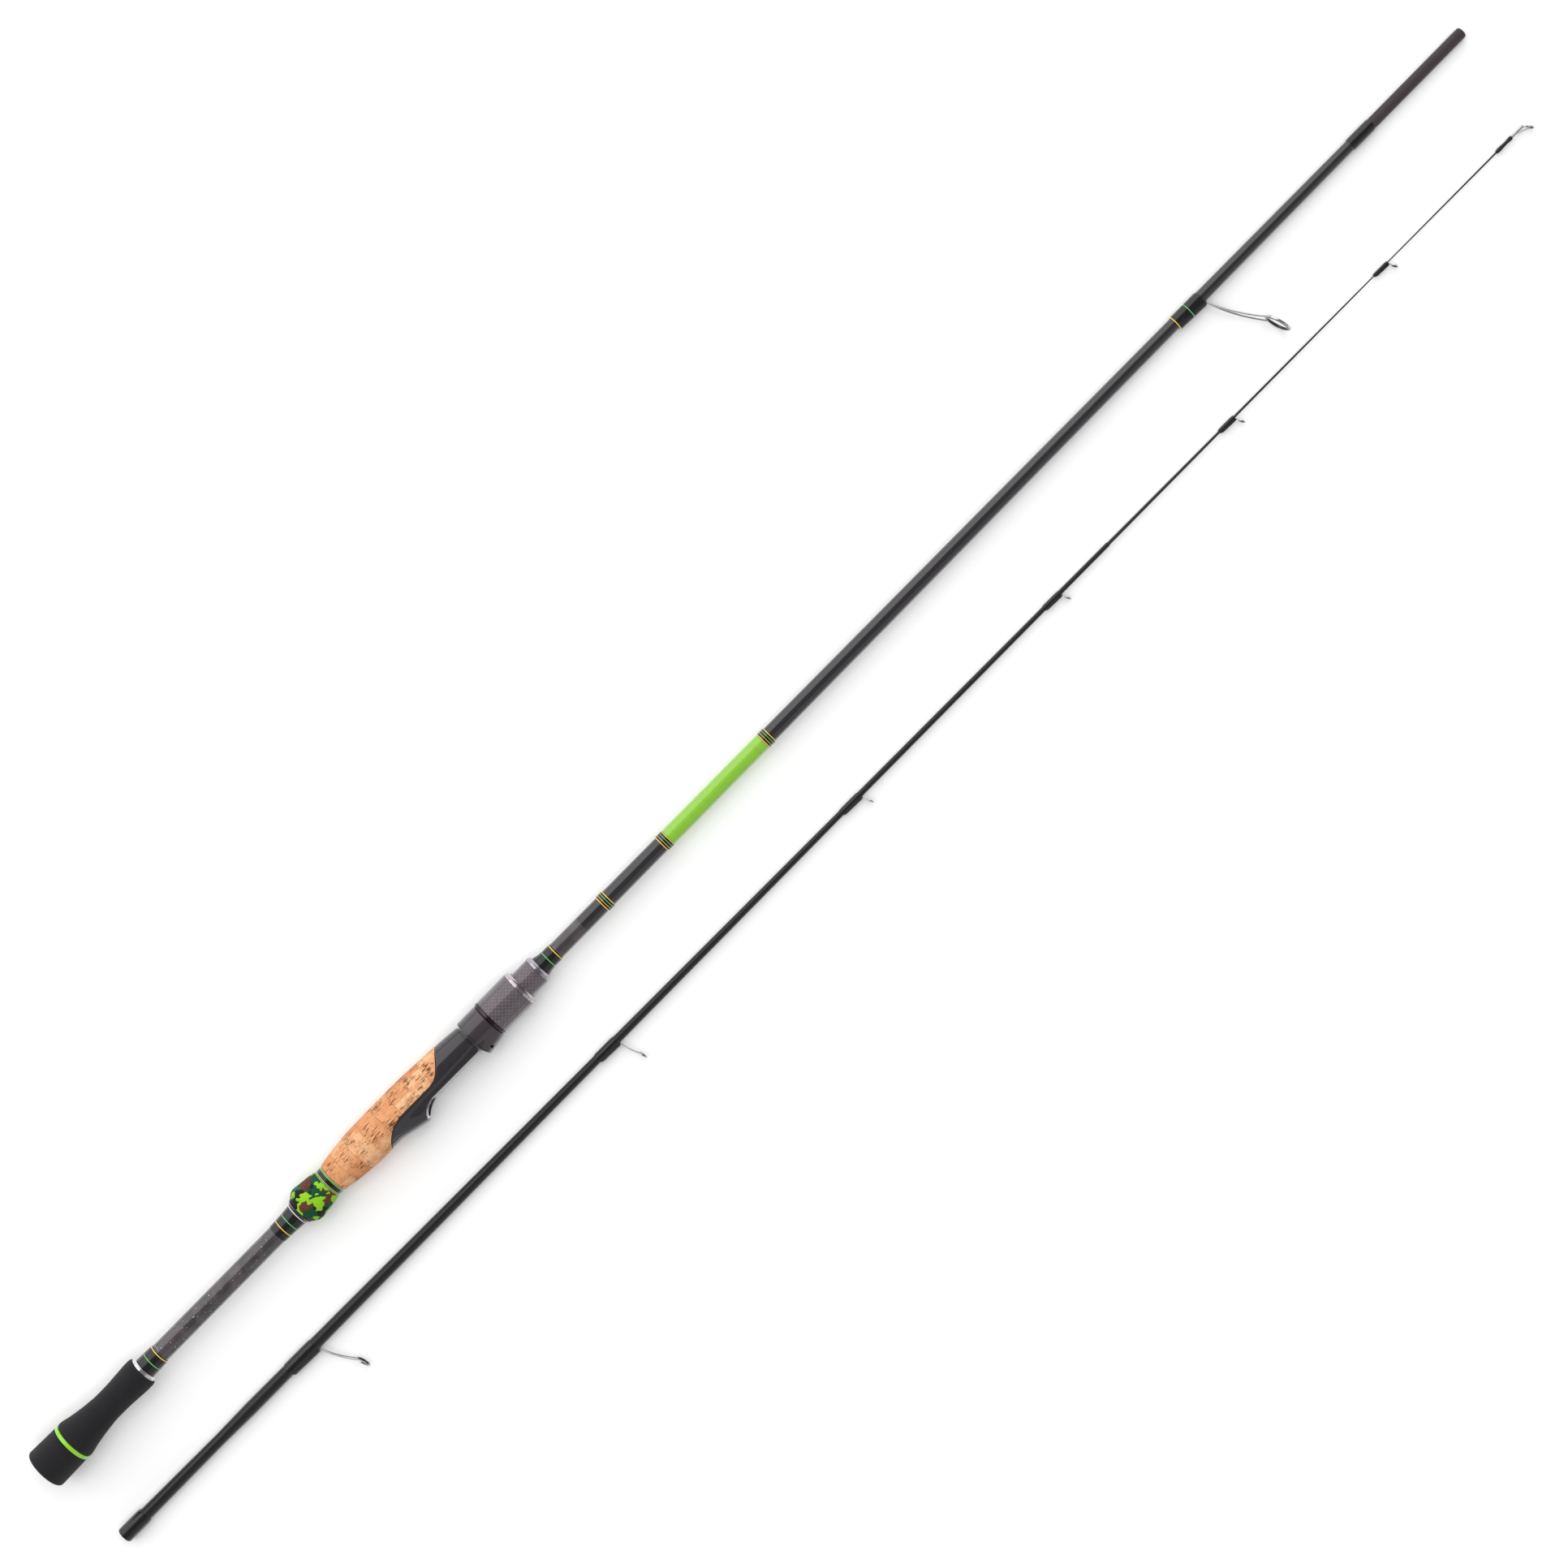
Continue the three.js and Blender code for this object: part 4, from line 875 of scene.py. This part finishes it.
def softened(mesh, voxel, rounds):
    """Remeshes a carved shape evenly and eases its edges, as moulding does."""
    body = placed("softened", mesh)
    remesh = body.modifiers.new("remesh", "REMESH")
    remesh.mode = "VOXEL"
    remesh.voxel_size = voxel * MM
    smooth = body.modifiers.new("smooth", "SMOOTH")
    smooth.factor = 0.5
    smooth.iterations = rounds
    return applied(body)


def shaded(mesh, sharp_angle):
    work = bmesh.new()
    work.from_mesh(mesh)
    for face in work.faces:
        face.smooth = True
    limit = math.radians(sharp_angle)
    for edge in work.edges:
        if len(edge.link_faces) == 2:
            edge.smooth = edge.calc_face_angle(0.0) < limit
    work.to_mesh(mesh)
    work.free()


def add(name, shape, material, node, sharp_angle=32):
    """Puts a fine piece where its CAD node is and lets it stand for the node."""
    mesh = shape if isinstance(shape, bpy.types.Mesh) else mesh_of(name, shape)
    mesh.name = name
    mesh.transform(place_of(node))
    shaded(mesh, sharp_angle)
    mesh.materials.clear()
    mesh.materials.append(material)
    piece = placed(name, mesh)
    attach(piece, frame["nodes"][node]["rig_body"])
    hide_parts(node)


def shifted(mesh, distance):
    """A mesh moved along its section's axis."""
    mesh.transform(Matrix.Translation((distance * MM, 0, 0)))
    return mesh


def add_turned(node, material, fillet=0.3, step=0.5, flow=True, sides=SIDES):
    """A turned piece on its CAD node's own outline, with rounded corners."""
    outer, bore = cad_outline(node)
    outer = [(x, r * FACET_FIT) for x, r in outer]
    outline = flowing(outer, step) if flow else outer
    shape = lathe(tube_loop(rounded(outline, fillet), bore), sides)
    add(f"{node}_fine", shape, material, node)


# ---------------------------------------------------------------- the handle


def eased(share):
    """A share from 0 to 1 that starts and ends gently."""
    return share * share * (3 - 2 * share)


def underside(y, z, first, width):
    """How much a corner faces -y: 0 below the cosine first, and 1 from first + width on."""
    facing = -y / np.maximum(np.hypot(y, z), TINY)
    return eased(np.clip((facing - first) / width, 0, 1))


def swollen(co, depth):
    """Pushes the -y side of turned corners out by depth(x), fading up the sides."""
    x, y, z = co.T
    return np.stack([x, y - depth(x) * underside(y, z, 0.5, 0.4), z], 1)


def add_butt_cap(foam):
    outer, bore = cad_outline("butt_cap_foam")
    radius = max(r for _, r in outer) * FACET_FIT - SKIN_FIT
    length, front = outer[-1]
    dimple = [(0.5, 0.0), (0.5, 2.2), (0.15, 2.8), (0.0, 3.6)]
    edge = [(0.0, 3.2), (0.12, 2.2), (0.42, 1.3), (0.85, 0.65), (1.5, 0.2), (2.4, 0.0)]
    loop = dimple + [(x, radius - down) for x, down in edge]
    loop += [(length * 0.5, (radius + front) / 2), (length - 0.6, front * FACET_FIT)]
    loop += [(length - 0.15, front - 0.15), (length, front - 0.5), (length, bore[1])]
    loop += [(BUTT_BLANK_FROM, bore[1]), (BUTT_BLANK_FROM, 0.0)]
    add("butt_cap_fine", lathe(loop), foam, "butt_cap_foam")


def grip_spline():
    """The line that the cork and the seat share, as (x, radius) from the cork's rear end."""
    marks = [
        (0, CORK_REAR_RADIUS),
        (SEAT_START * 0.28, CORK_REAR_RADIUS + (CORK_RADIUS - CORK_REAR_RADIUS) * 0.5),
        (SEAT_START * 0.64, CORK_RADIUS - 0.25),
        (SEAT_START, CORK_RADIUS),
        (SEAT_START + SEAT_LENGTH * 0.38, CORK_RADIUS),
        (SEAT_START + SEAT_LENGTH * 0.69, CORK_RADIUS - 1.15),
        (SEAT_START + SEAT_LENGTH * 0.84, CORK_RADIUS - 1.75),
        (SEAT_START + SEAT_LENGTH, SEAT_END_RADIUS),
    ]
    marks = np.array([marks[0], *marks, marks[-1]], float)
    steps = 16
    line = []
    for p0, p1, p2, p3 in zip(marks, marks[1:], marks[2:], marks[3:]):
        a, b = (p2 - p0) / 2, (p3 - p1) / 2
        for t in (k / steps for k in range(steps)):
            cubed, squared = 2 * p1 - 2 * p2 + a + b, 3 * p2 - 3 * p1 - 2 * a - b
            line.append(tuple(cubed * t**3 + squared * t**2 + a * t + p1))
    line.append(tuple(marks[-1]))
    return [(x, r * FACET_FIT - SKIN_FIT) for x, r in line]


def seat_side(gap=0.0):
    """The side outline of all that the seat takes up. gap draws it back for the cork."""
    beyond = HOOD_DEPTH + CORK_RADIUS
    top = CORK_RADIUS + 4
    end = SEAT_LENGTH + BARREL_LENGTH
    along = lambda share: SEAT_LENGTH * share
    points = [(-3, -beyond), (-3, -CORK_RADIUS - 3.7)]
    palm = [(4.5, -BED_DEPTH - 0.3), (11, -PALM_LEVEL), (23, -PALM_LEVEL)]
    points += curve_points(points[-1], *palm, count=24)
    points.append((along(0.543), -PALM_LEVEL))
    rise = [(along(0.654), -PALM_LEVEL), (along(0.704), 2.5)]
    rise.append((along(SEAT_TOP_SHARE - 0.044), CORK_RADIUS - 1.2))
    points += curve_points(points[-1], *rise, count=24)
    points += [(along(SEAT_TOP_SHARE), top), (end + 2, top), (end + 2, -beyond)]
    return prism([(x - gap, y + gap) for x, y in points], 2 * beyond)


def moved(shape, dx):
    co, faces = shape
    return np.array(co) + (dx, 0, 0), faces


def foot_space():
    """The side outline of the room for a reel's foot, below the bed."""
    beyond = HOOD_DEPTH + CORK_RADIUS
    mouth_end = HOOD_LIP_AT + HOOD_MOUTH_LENGTH
    points = [(HOOD_LIP_AT, -beyond), (HOOD_LIP_AT, -HOOD_DEPTH)]
    mouth = [(HOOD_LIP_AT + 2.5, -BED_DEPTH - 1.6), (mouth_end, -BED_DEPTH)]
    points += curve_points(points[-1], *mouth)
    points += [(SEAT_LENGTH + 1, -BED_DEPTH), (SEAT_LENGTH + 1, -beyond)]
    return points


HOOD_RAMP = (HOOD_DEPTH - CORK_RADIUS) / (HOOD_LIP_AT - HOOD_RAMP_AT)


def pocket(shrink):
    """The room inside the fixed hood, with its walls drawn in by shrink."""
    ends = (HOOD_LIP_AT - POCKET_LENGTH, HOOD_LIP_AT + HOOD_MOUTH_LENGTH)
    at_lip = HOOD_DEPTH - BED_DEPTH - HOOD_WALL - shrink
    depth = [at_lip + HOOD_RAMP * (x - HOOD_LIP_AT) for x in ends]
    return arch(ends[0] + shrink, ends[1], POCKET_HALF_WIDTH - shrink, *depth)


def add_cork(cork):
    start, end = span("cork_grip")
    outline = [(x, r) for x, r in grip_spline() if x <= end - start]
    _, bore = cad_outline("cork_grip")
    body = moved(lathe(tube_loop(rounded(outline, 0.5), (bore[0], bore[0]))), start)
    cut = moved(seat_side(CORK_JOINT), start + SEAT_START)
    add("cork_grip_fine", carved(body, [("DIFFERENCE", cut)]), cork, "cork_grip", 40)


def add_seat(gloss):
    """The seat's moulding, opened for the reel's foot and the blank, and its barrel."""
    start = span("cork_grip")[0] + SEAT_START
    outline = [(x - SEAT_START, r) for x, r in grip_spline() if x > SEAT_START - 4]
    drop = lambda x: HOOD_RAMP * np.clip(x - HOOD_RAMP_AT, 0, HOOD_LIP_AT - HOOD_RAMP_AT)
    solid = [(outline[0][0], 0), *outline, (outline[-1][0], 0)]
    body = lathe(solid, SIDES, lambda co: swollen(co, drop))
    beyond = HOOD_DEPTH + CORK_RADIUS
    bore = [(-9, 0), (-9, SEAT_BORE), (SEAT_LENGTH + 3, SEAT_BORE), (SEAT_LENGTH + 3, 0)]
    steps = [
        ("INTERSECT", seat_side()),
        ("DIFFERENCE", prism(foot_space(), 2 * beyond)),
        ("DIFFERENCE", pocket(0)),
        ("DIFFERENCE", lathe(bore)),
    ]
    shell = softened(carved(body, steps), SEAT_VOXEL, 5)
    add("seat_shell_fine", shifted(shell, start), gloss, "reel_seat_body", 60)
    add("seat_barrel_fine", moved(barrel_thread(), start), gloss, "reel_seat_body")


def add_hood_liner(bright):
    """The bright lip in the fixed hood's mouth: a thin lining that stands a little proud of it."""
    beyond = HOOD_DEPTH + CORK_RADIUS
    mouth_end = HOOD_LIP_AT + HOOD_MOUTH_LENGTH
    trim = [(x + LINER_PROUD, y - LINER_PROUD / 3) for x, y in foot_space()]
    top = -BED_DEPTH - LINER_GAP
    below = [(0, -HOOD_DEPTH), (mouth_end, -HOOD_DEPTH), (mouth_end, top), (0, top)]
    steps = [
        ("DIFFERENCE", pocket(LINER_GAP + LINER_WALL)),
        ("DIFFERENCE", prism(trim, 2 * beyond)),
        ("INTERSECT", prism(below, beyond)),
    ]
    liner = carved(pocket(LINER_GAP), steps)
    start = span("cork_grip")[0] + SEAT_START
    add("hood_liner_fine", shifted(liner, start), bright, "fixed_hood_liner", 40)


def barrel_thread():
    """The screw thread on the seat's barrel, with the keyway along its top."""
    start, end = SEAT_LENGTH - 1, SEAT_LENGTH + BARREL_LENGTH
    xs = np.arange(start, end + 0.01, THREAD_PITCH / 8)
    loop = [(x, BARREL_RADIUS) for x in xs] + [(end, SEAT_BORE), (start, SEAT_BORE)]

    def threaded(co):
        x, y, z = co.T
        radius = np.hypot(y, z)
        turn = x / THREAD_PITCH - np.arctan2(z, y) / (2 * math.pi)
        wave = 0.5 - 0.5 * np.cos(2 * math.pi * turn)
        fade = np.clip((x - SEAT_LENGTH - 0.5) / 1.5, 0, 1) * np.clip((end - x) / 1.0, 0, 1)
        outer = radius > SEAT_BORE + 0.5
        depth = np.where(outer, THREAD_DEPTH * wave * fade, 0)
        in_key = outer & (np.abs(z) < KEY_WIDTH / 2) & (y > 0) & (x > SEAT_LENGTH)
        wanted = np.where(in_key, BARREL_RADIUS - KEY_HEIGHT, radius * FACET_FIT - depth)
        scale = np.where(outer, wanted / np.maximum(radius, TINY), 1)
        return np.stack([x, y * scale, z * scale], 1)

    return lathe(loop, SIDES, threaded)


def hood_recess():
    """A short oval peg that cuts the recess in the moving hood's side."""
    way = np.array((0, -math.sin(HOOD_HOLE_ANGLE), math.cos(HOOD_HOLE_ANGLE)))
    face = SLIDE_HOOD_RADIUS + SLIDE_HOOD_DROP * 0.6
    ends = [np.array((HOOD_HOLE_AT, 0, 0)) + way * r for r in (face - HOOD_HOLE_DEPTH, face + 3)]
    wide, tall = HOOD_HOLE_HALF
    return sweep([tuple(end) for end in ends], (wide, wide), (tall, tall), 24)


def add_moving_hood(lacquer):
    start, end = span("moving_hood")
    length = end - start
    radius = SLIDE_HOOD_RADIUS
    outline = [(0, radius - HOOD_EDGE), (HOOD_EDGE, radius), (HOOD_FLAT, radius)]
    outline += [(length / 2, radius + 0.1), (length - HOOD_EDGE, radius)]
    outline.append((length, radius - HOOD_EDGE))
    outline = [(x, r * FACET_FIT) for x, r in flowing(outline, 0.8)]
    easing = lambda x: np.maximum(0, x - HOOD_FLAT) / (length - HOOD_FLAT)
    drop = lambda x: SLIDE_HOOD_DROP * (1 - 0.65 * easing(x))
    body = lathe([(0, 0), *outline, (length, 0)], SIDES, lambda co: swollen(co, drop))
    bore = [(-1, 0), (-1, SEAT_FRONT_BORE), (HOOD_COUNTERBORE, SEAT_FRONT_BORE)]
    bore += [(HOOD_COUNTERBORE, SLIDE_BORE), (length + 1, SLIDE_BORE), (length + 1, 0)]
    inside = radius - BED_DEPTH - SLIDE_HOOD_WALL
    depth = [inside + float(drop(x)) for x in (0, SLIDE_HOOD_POCKET)]
    deepest = radius + SLIDE_HOOD_DROP + 0.5
    mouth = -BED_DEPTH - 0.4
    lip = [(-1, mouth), (0.2, mouth), (HOOD_FLAT, -deepest), (-1, -deepest)]
    steps = [
        ("DIFFERENCE", lathe(bore)),
        ("DIFFERENCE", hood_recess()),
        ("DIFFERENCE", arch(-1, SLIDE_HOOD_POCKET, POCKET_HALF_WIDTH - 0.6, *depth)),
        ("DIFFERENCE", prism(lip, 2 * radius)),
    ]
    shell = softened(carved(body, steps), HOOD_VOXEL, 4)
    add("moving_hood_fine", shifted(shell, start), lacquer, "moving_hood", 60)


def add_grooved_ring(node, material):
    """A turned ring with a bevelled front edge and one groove round it."""
    outer, bore = cad_outline(node)
    start, end = outer[0][0], outer[-1][0]
    front = outer[-1][1] * FACET_FIT
    edge = max(r for _, r in outer) * FACET_FIT
    middle = start + (end - start) * 0.52
    lip = [(0.42, 0.0), (0.3, 0.1), (0.22, 0.5)]
    outline = [(start, edge - 0.4), (start + 0.12, edge - 0.12), (start + 0.4, edge)]
    outline += [(middle - along, edge - down) for along, down in lip]
    outline += [(middle + along, edge - down) for along, down in lip[::-1]]
    outline += [(end - 0.75, min(edge, front + 0.75)), (end - 0.1, front - 0.05)]
    outline.append((end, front - 0.2))
    add(f"{node}_fine", lathe(tube_loop(outline, bore)), material, node, 28)


# ---------------------------------------------------------------- guides


# Shares of a guide's rim, and then multiples of its frame's wire.
INSERT_SHARE = 0.9
INSERT_HALF = 0.62
HOOP_HALF = 0.46
WIRE_SHARE = 0.52
FOOT_THICK = 1.8
FOOT_HALF = 1.5
BOWED_FROM = 2.6  # the legs of a guide with a larger ring bow to the rear
TIPTOP_WIRE = 0.36
TIPTOP_STRUT_ANGLE = math.radians(100)
ACROSS = np.array((0, 0, 1.0))


def round_loop(half, outer, inner, count, power):
    """A rounded section between two radii."""
    middle, reach = (outer + inner) / 2, (outer - inner) / 2
    out = []
    for k in range(count):
        a = 2 * math.pi * k / count
        c, s = math.cos(a), math.sin(a)
        along = half * math.copysign(abs(c) ** power, c)
        out.append((along, middle + reach * math.copysign(abs(s) ** power, s)))
    return out


class Ring:
    """A guide's ring as the CAD model has it, and what the fine pieces take from it."""

    def __init__(self, node, sides=GUIDE_SIDES):
        self.sides = sides
        co = local(node)
        self.centre = co.mean(0)
        off = co - self.centre
        _, _, axes = np.linalg.svd(off)
        self.axis = axes[2] * (1 if axes[2][0] > 0 else -1)
        inward = np.array((0.0, 1.0, 0.0))
        inward = inward - self.axis * inward.dot(self.axis)
        self.inward = inward / np.linalg.norm(inward)
        radial = np.linalg.norm(off - np.outer(off @ self.axis, self.axis), axis=1)
        self.outer, self.inner = radial.max(), radial.min()
        self.rim = (self.outer - self.inner) / INSERT_SHARE
        self.radius = (self.outer + self.rim / 2) * HOOP_FIT

    def turned(self, loop):
        """A loop of (along the ring's axis, radius) turned about that axis."""
        co, faces = lathe(loop, self.sides)
        basis = np.stack([self.axis, self.inward, np.cross(self.axis, self.inward)])
        return co @ basis + self.centre, faces

    def insert(self):
        half, inner = self.rim * INSERT_HALF, self.inner + 0.02
        return self.turned(round_loop(half, self.outer, inner, 24, 0.9))

    def hoop(self):
        half, inner = self.rim * HOOP_HALF, self.outer - 0.05
        return self.turned(round_loop(half, self.radius, inner, 20, 0.7))

    def point(self, reach, angle, side):
        """A point in the ring's plane, at an angle from the way to the blank."""
        way = math.cos(angle) * self.inward + math.sin(angle) * side * ACROSS
        return self.centre + reach * way


def guide_leg(ring, side, wire, blank, root):
    """One leg: from inside the foot to the hoop, and a little way round it."""
    thick, half = wire * FOOT_THICK, wire * FOOT_HALF
    end = ring.point(ring.radius - wire * 0.5, LEG_ANGLE, side)
    past = ring.point(ring.radius - ring.rim * 0.3, LEG_ANGLE * 1.35, side)
    start = np.array((root + wire, -blank - thick * 0.6, side * (half - wire)))
    middle = (start + end) / 2
    if ring.outer > BOWED_FROM:
        middle = middle - np.array((0.1 * np.linalg.norm(end - start), 0, 0))
    knee = start + np.array((-3 * wire, thick * 0.1, -side * 0.1 * wire))
    line = [tuple(knee), tuple(start)] + curve_points(start, middle, end, count=18)
    line += [tuple((end + past) / 2), tuple(past)]
    marks = [0, 3, len(line) - 4, len(line) - 1]
    taper = np.interp(np.arange(len(line)), marks, [1.0, 0.95, 0.8, 0.45]) * wire
    return sweep(line, taper * 1.05, taper * 0.9, 14)


def guide_foot(wire, blank, heel, toe):
    """The flat foot under the wrap, thin and narrow at its heel."""
    thick, half, steps = wire * FOOT_THICK, wire * FOOT_HALF, 12
    places = zip(np.linspace(heel, toe, steps), np.linspace(0.3, 1.0, steps))
    line = [(x, -blank - thick * share * 0.5, 0) for x, share in places]
    widths = half * np.linspace(0.45, 1.0, steps)
    return sweep(line, widths, thick * 0.5 * np.linspace(0.35, 1.0, steps), 16)


def guide_wrap(co, blank, rear, length, thick):
    """The thread round the blank, raised on the -y side where it runs over the guide's foot."""
    top = co[co[:, 1] > 0]
    xs = np.round(top[:, 0] * 5) / 5
    radial = np.hypot(top[:, 1], top[:, 2])
    outline = []
    for here in (xs == at for at in sorted(set(xs))):
        if radial[here].max() > blank + 0.06:
            outline.append((top[here][:, 0].mean(), radial[here].max() * FACET_FIT))
    wall = max(r for _, r in outline) - blank
    ease = min(2.0, length / 4)

    def over_foot(co):
        x, y, z = co.T
        rise = eased(np.clip((x - rear) / ease, 0, 1)) * (0.5 + 0.5 * (x - rear) / length)
        outside = np.hypot(y, z) > blank + 0.12 * wall
        lower = (thick + wall * 0.8) * rise * underside(y, z, 0.45, 0.5)
        return np.stack([x, y - np.where(outside, lower, 0), z], 1)

    outline = rounded(flowing(outline, 0.6), wall * 0.6)
    return lathe(tube_loop(outline, (blank - 0.05,) * 2), GUIDE_SIDES, over_foot)


def add_guide(name, looks):
    wrap_node, frame_node, ring_node = (f"{name}_{part}" for part in ("wrap", "frame", "ring"))
    ring = Ring(ring_node)
    wire = WIRE_SHARE * ring.rim
    rear, root = span(wrap_node)
    co = local(wrap_node)
    blank = np.hypot(co[:, 1], co[:, 2]).min()
    legs = [guide_leg(ring, side, wire, blank, root) for side in (-1, 1)]
    foot = guide_foot(wire, blank, rear + 2.0, root + 1.6 * wire)
    wrap = guide_wrap(co, blank, rear, root - rear, wire * FOOT_THICK)
    add(f"{name}_ring_fine", ring.insert(), looks["ceramic"], ring_node)
    add(f"{name}_frame_fine", combined(ring.hoop(), *legs, foot), looks["frame"], frame_node, 50)
    add(f"{name}_wrap_fine", wrap, looks["wrap"], wrap_node, 50)


def tiptop_strut(ring, side, start):
    """A side strut, from inside the tube to the hoop."""
    wire = TIPTOP_WIRE
    tube_radius = TOP_TUBE_RADIUS * FACET_FIT
    end = ring.point(ring.radius - wire * 0.6, TIPTOP_STRUT_ANGLE, side)
    root = np.array((start + 8, -tube_radius * 0.7, side * tube_radius * 0.5))
    bow = (root + end) / 2 + np.array((0.6, 0.25, side * 0.25))
    buried = (start + 6.4, 0, side * tube_radius * 0.25)
    line = [buried, tuple(root)] + curve_points(root, bow, end, count=12)
    return sweep(line, [wire] * len(line), [wire * 0.85] * len(line), 12)


def add_tiptop(looks):
    ring = Ring("tiptop_ring", TIPTOP_SIDES)
    add("tiptop_ring_fine", ring.insert(), looks["ceramic"], "tiptop_ring")
    start = span("tiptop_frame")[0]
    end = start + TOP_TUBE_LENGTH
    radius = TOP_TUBE_RADIUS * FACET_FIT
    loop = [(start + 0.4, 0.0), (start + 0.4, 0.8), (start, 0.8), (start, radius)]
    loop += [(end - 1.2, radius), (end - 0.4, 0.85), (end, 0.4), (end, 0.0)]
    tube = lathe(loop[2:] + loop[:2], 48)
    struts = [tiptop_strut(ring, side, start) for side in (-1, 1)]
    neck = ring.centre + ring.radius * 0.93 * ring.inward
    root = np.array((end - 1.5, -radius * 0.3, 0))
    line = [tuple(root), tuple((root + neck) / 2), tuple(neck)]
    stem = sweep(line, [TIPTOP_WIRE] * 3, [TIPTOP_WIRE] * 3, 12)
    frame_shape = combined(tube, ring.hoop(), *struts, stem)
    add("tiptop_frame_fine", frame_shape, looks["frame"], "tiptop_frame", 50)


# ---------------------------------------------------------------- putting it together


def keep_node(node, material):
    """A CAD node that stays as it is, with a better material."""
    node = frame["nodes"][node]
    node.data.materials.clear()
    node.data.materials.append(material)


def green_line(at):
    return at, 0.22, GREEN_THREAD


def gold_line(at):
    return at, 0.28, GOLD_THREAD


# The look of each lined wrap, its lines as (place, half width, colour), and its fillet.
LABEL_LINES = [(x, 0.16, LIME_THREAD) for x in (247.0, 247.9, 251.1, 251.9)]
CONE_LINES = [(220.9, 0.35, SILVER_THREAD)]
LINED_WRAPS = {
    "rear_handle_wrap": ("rear_wrap", [green_line(94.25), gold_line(100.5)], 0.4),
    "front_handle_wrap": ("front_wrap", [gold_line(208.75), green_line(214.25)], 0.4),
    "label_band": ("label_band_look", LABEL_LINES, 0.15),
    "fore_wrap": ("fore_wrap_look", [green_line(440.5), gold_line(446.5)], 0.3),
}

# The four lines of a trim band: place from its middle, half width, colour.
BAND_LINES = [
    (-2.6, 0.26, GOLD_THREAD),
    (-0.9, 0.14, GOLD_THREAD),
    (0.9, 0.16, GREEN_THREAD),
    (2.6, 0.26, GOLD_THREAD),
]


def add_lined_wrap(node):
    name, lines, fillet = LINED_WRAPS[node]
    add_turned(node, wrap_look(name, butt, lines), fillet)


def add_trim_band(number):
    start, end = span(f"trim_band_{number}")
    middle = (start + end) / 2
    lines = [(middle + at, half, colour) for at, half, colour in BAND_LINES]
    add_turned(f"trim_band_{number}", wrap_look(f"trim_band_look_{number}", butt, lines), 0.25)


def add_handle(foam, bright):
    add_butt_cap(foam)
    add_turned("green_trim_ring", lime_look(butt), 0.5)
    add_turned("rear_grip_foam", foam, 1.2, 0.8)
    add_turned("rear_check_ring", bright, 0.4)
    add_lined_wrap("rear_handle_wrap")
    add_lined_wrap("front_handle_wrap")
    add_turned("camo_check_ring", wrap_look("camo_check", butt, CONE_LINES, CONE_BLACK), 0.3)
    add_turned("camo_grip", camo_look(butt), 0.7, 0.6)
    add_lined_wrap("label_band")
    add_turned("butt_blank", blank_look(butt), 0.4, 6.0, False)
    add_cork(cork_look(butt, CORK_RADIUS))


def add_reel_seat(bright):
    add_seat(seat_look(butt))
    add_hood_liner(bright)
    add_moving_hood(hood_look(butt, span("moving_hood")[0] + 1.4))
    dark = metal_look("dark_ring", butt, (62, 53, 60), (84, 73, 82), 0.22)
    add_turned("nut_rear_ring", dark, 0.35, flow=False)
    add_turned("lock_nut", weave_look("nut_weave", butt, 12.7), 0.15, flow=False)
    nut_ring = metal_look("nut_ring", butt, (172, 162, 168), (222, 214, 220), 0.16)
    add_grooved_ring("nut_front_ring", nut_ring)
    add_turned("fore_sleeve", weave_look("sleeve_weave", butt, 9.5), 0.15, flow=False)
    fore_ring = metal_look("fore_ring", butt, (150, 142, 152), (200, 192, 203), 0.18)
    add_turned("fore_check_ring", fore_ring, 0.3)
    add_lined_wrap("fore_wrap")


def guide_looks(chrome_name, section, wrap):
    frame_look = chrome_look(chrome_name, section)
    return {"ceramic": ceramic_look(section), "frame": frame_look, "wrap": wrap}


def add_butt_front(foam):
    for number in (1, 2, 3):
        add_trim_band(number)
    panel = panel_look(butt, *span("green_panel_sleeve"), 5.3)
    add_turned("green_panel_sleeve", panel, 0.15, flow=False)
    for node in ("seat_arbor_rear", "seat_arbor_front"):
        keep_node(node, foam)
    lined = wrap_look("stripper_wrap_look", butt, [gold_line(990.8), green_line(1002.0)])
    add_guide("stripper_guide", guide_looks("guide_chrome_butt", butt, lined))
    add_turned("spigot_wrap", wrap_look("thread_wrap_butt", butt), 0.2)


def add_tip_section():
    wrap = wrap_look("thread_wrap_tip", tip)
    looks = guide_looks("guide_chrome_tip", tip, wrap)
    add_turned("tip_blank", tip_blank_look(tip), 0.3, 6.0, False, GUIDE_SIDES)
    add_turned("socket_wrap", wrap, 0.4)
    for number in range(1, 7):
        add_guide(f"guide_{number}", looks)
    add_turned("tiptop_wrap", wrap, 0.2, sides=TIPTOP_SIDES)
    add_tiptop(looks)


def add_rod():
    foam = foam_look(butt)
    bright = metal_look("bright_ring", butt, (205, 202, 207), (238, 236, 240), 0.14)
    add_handle(foam, bright)
    add_reel_seat(bright)
    add_butt_front(foam)
    add_tip_section()


add_camera()
add_stage()
add_rod()
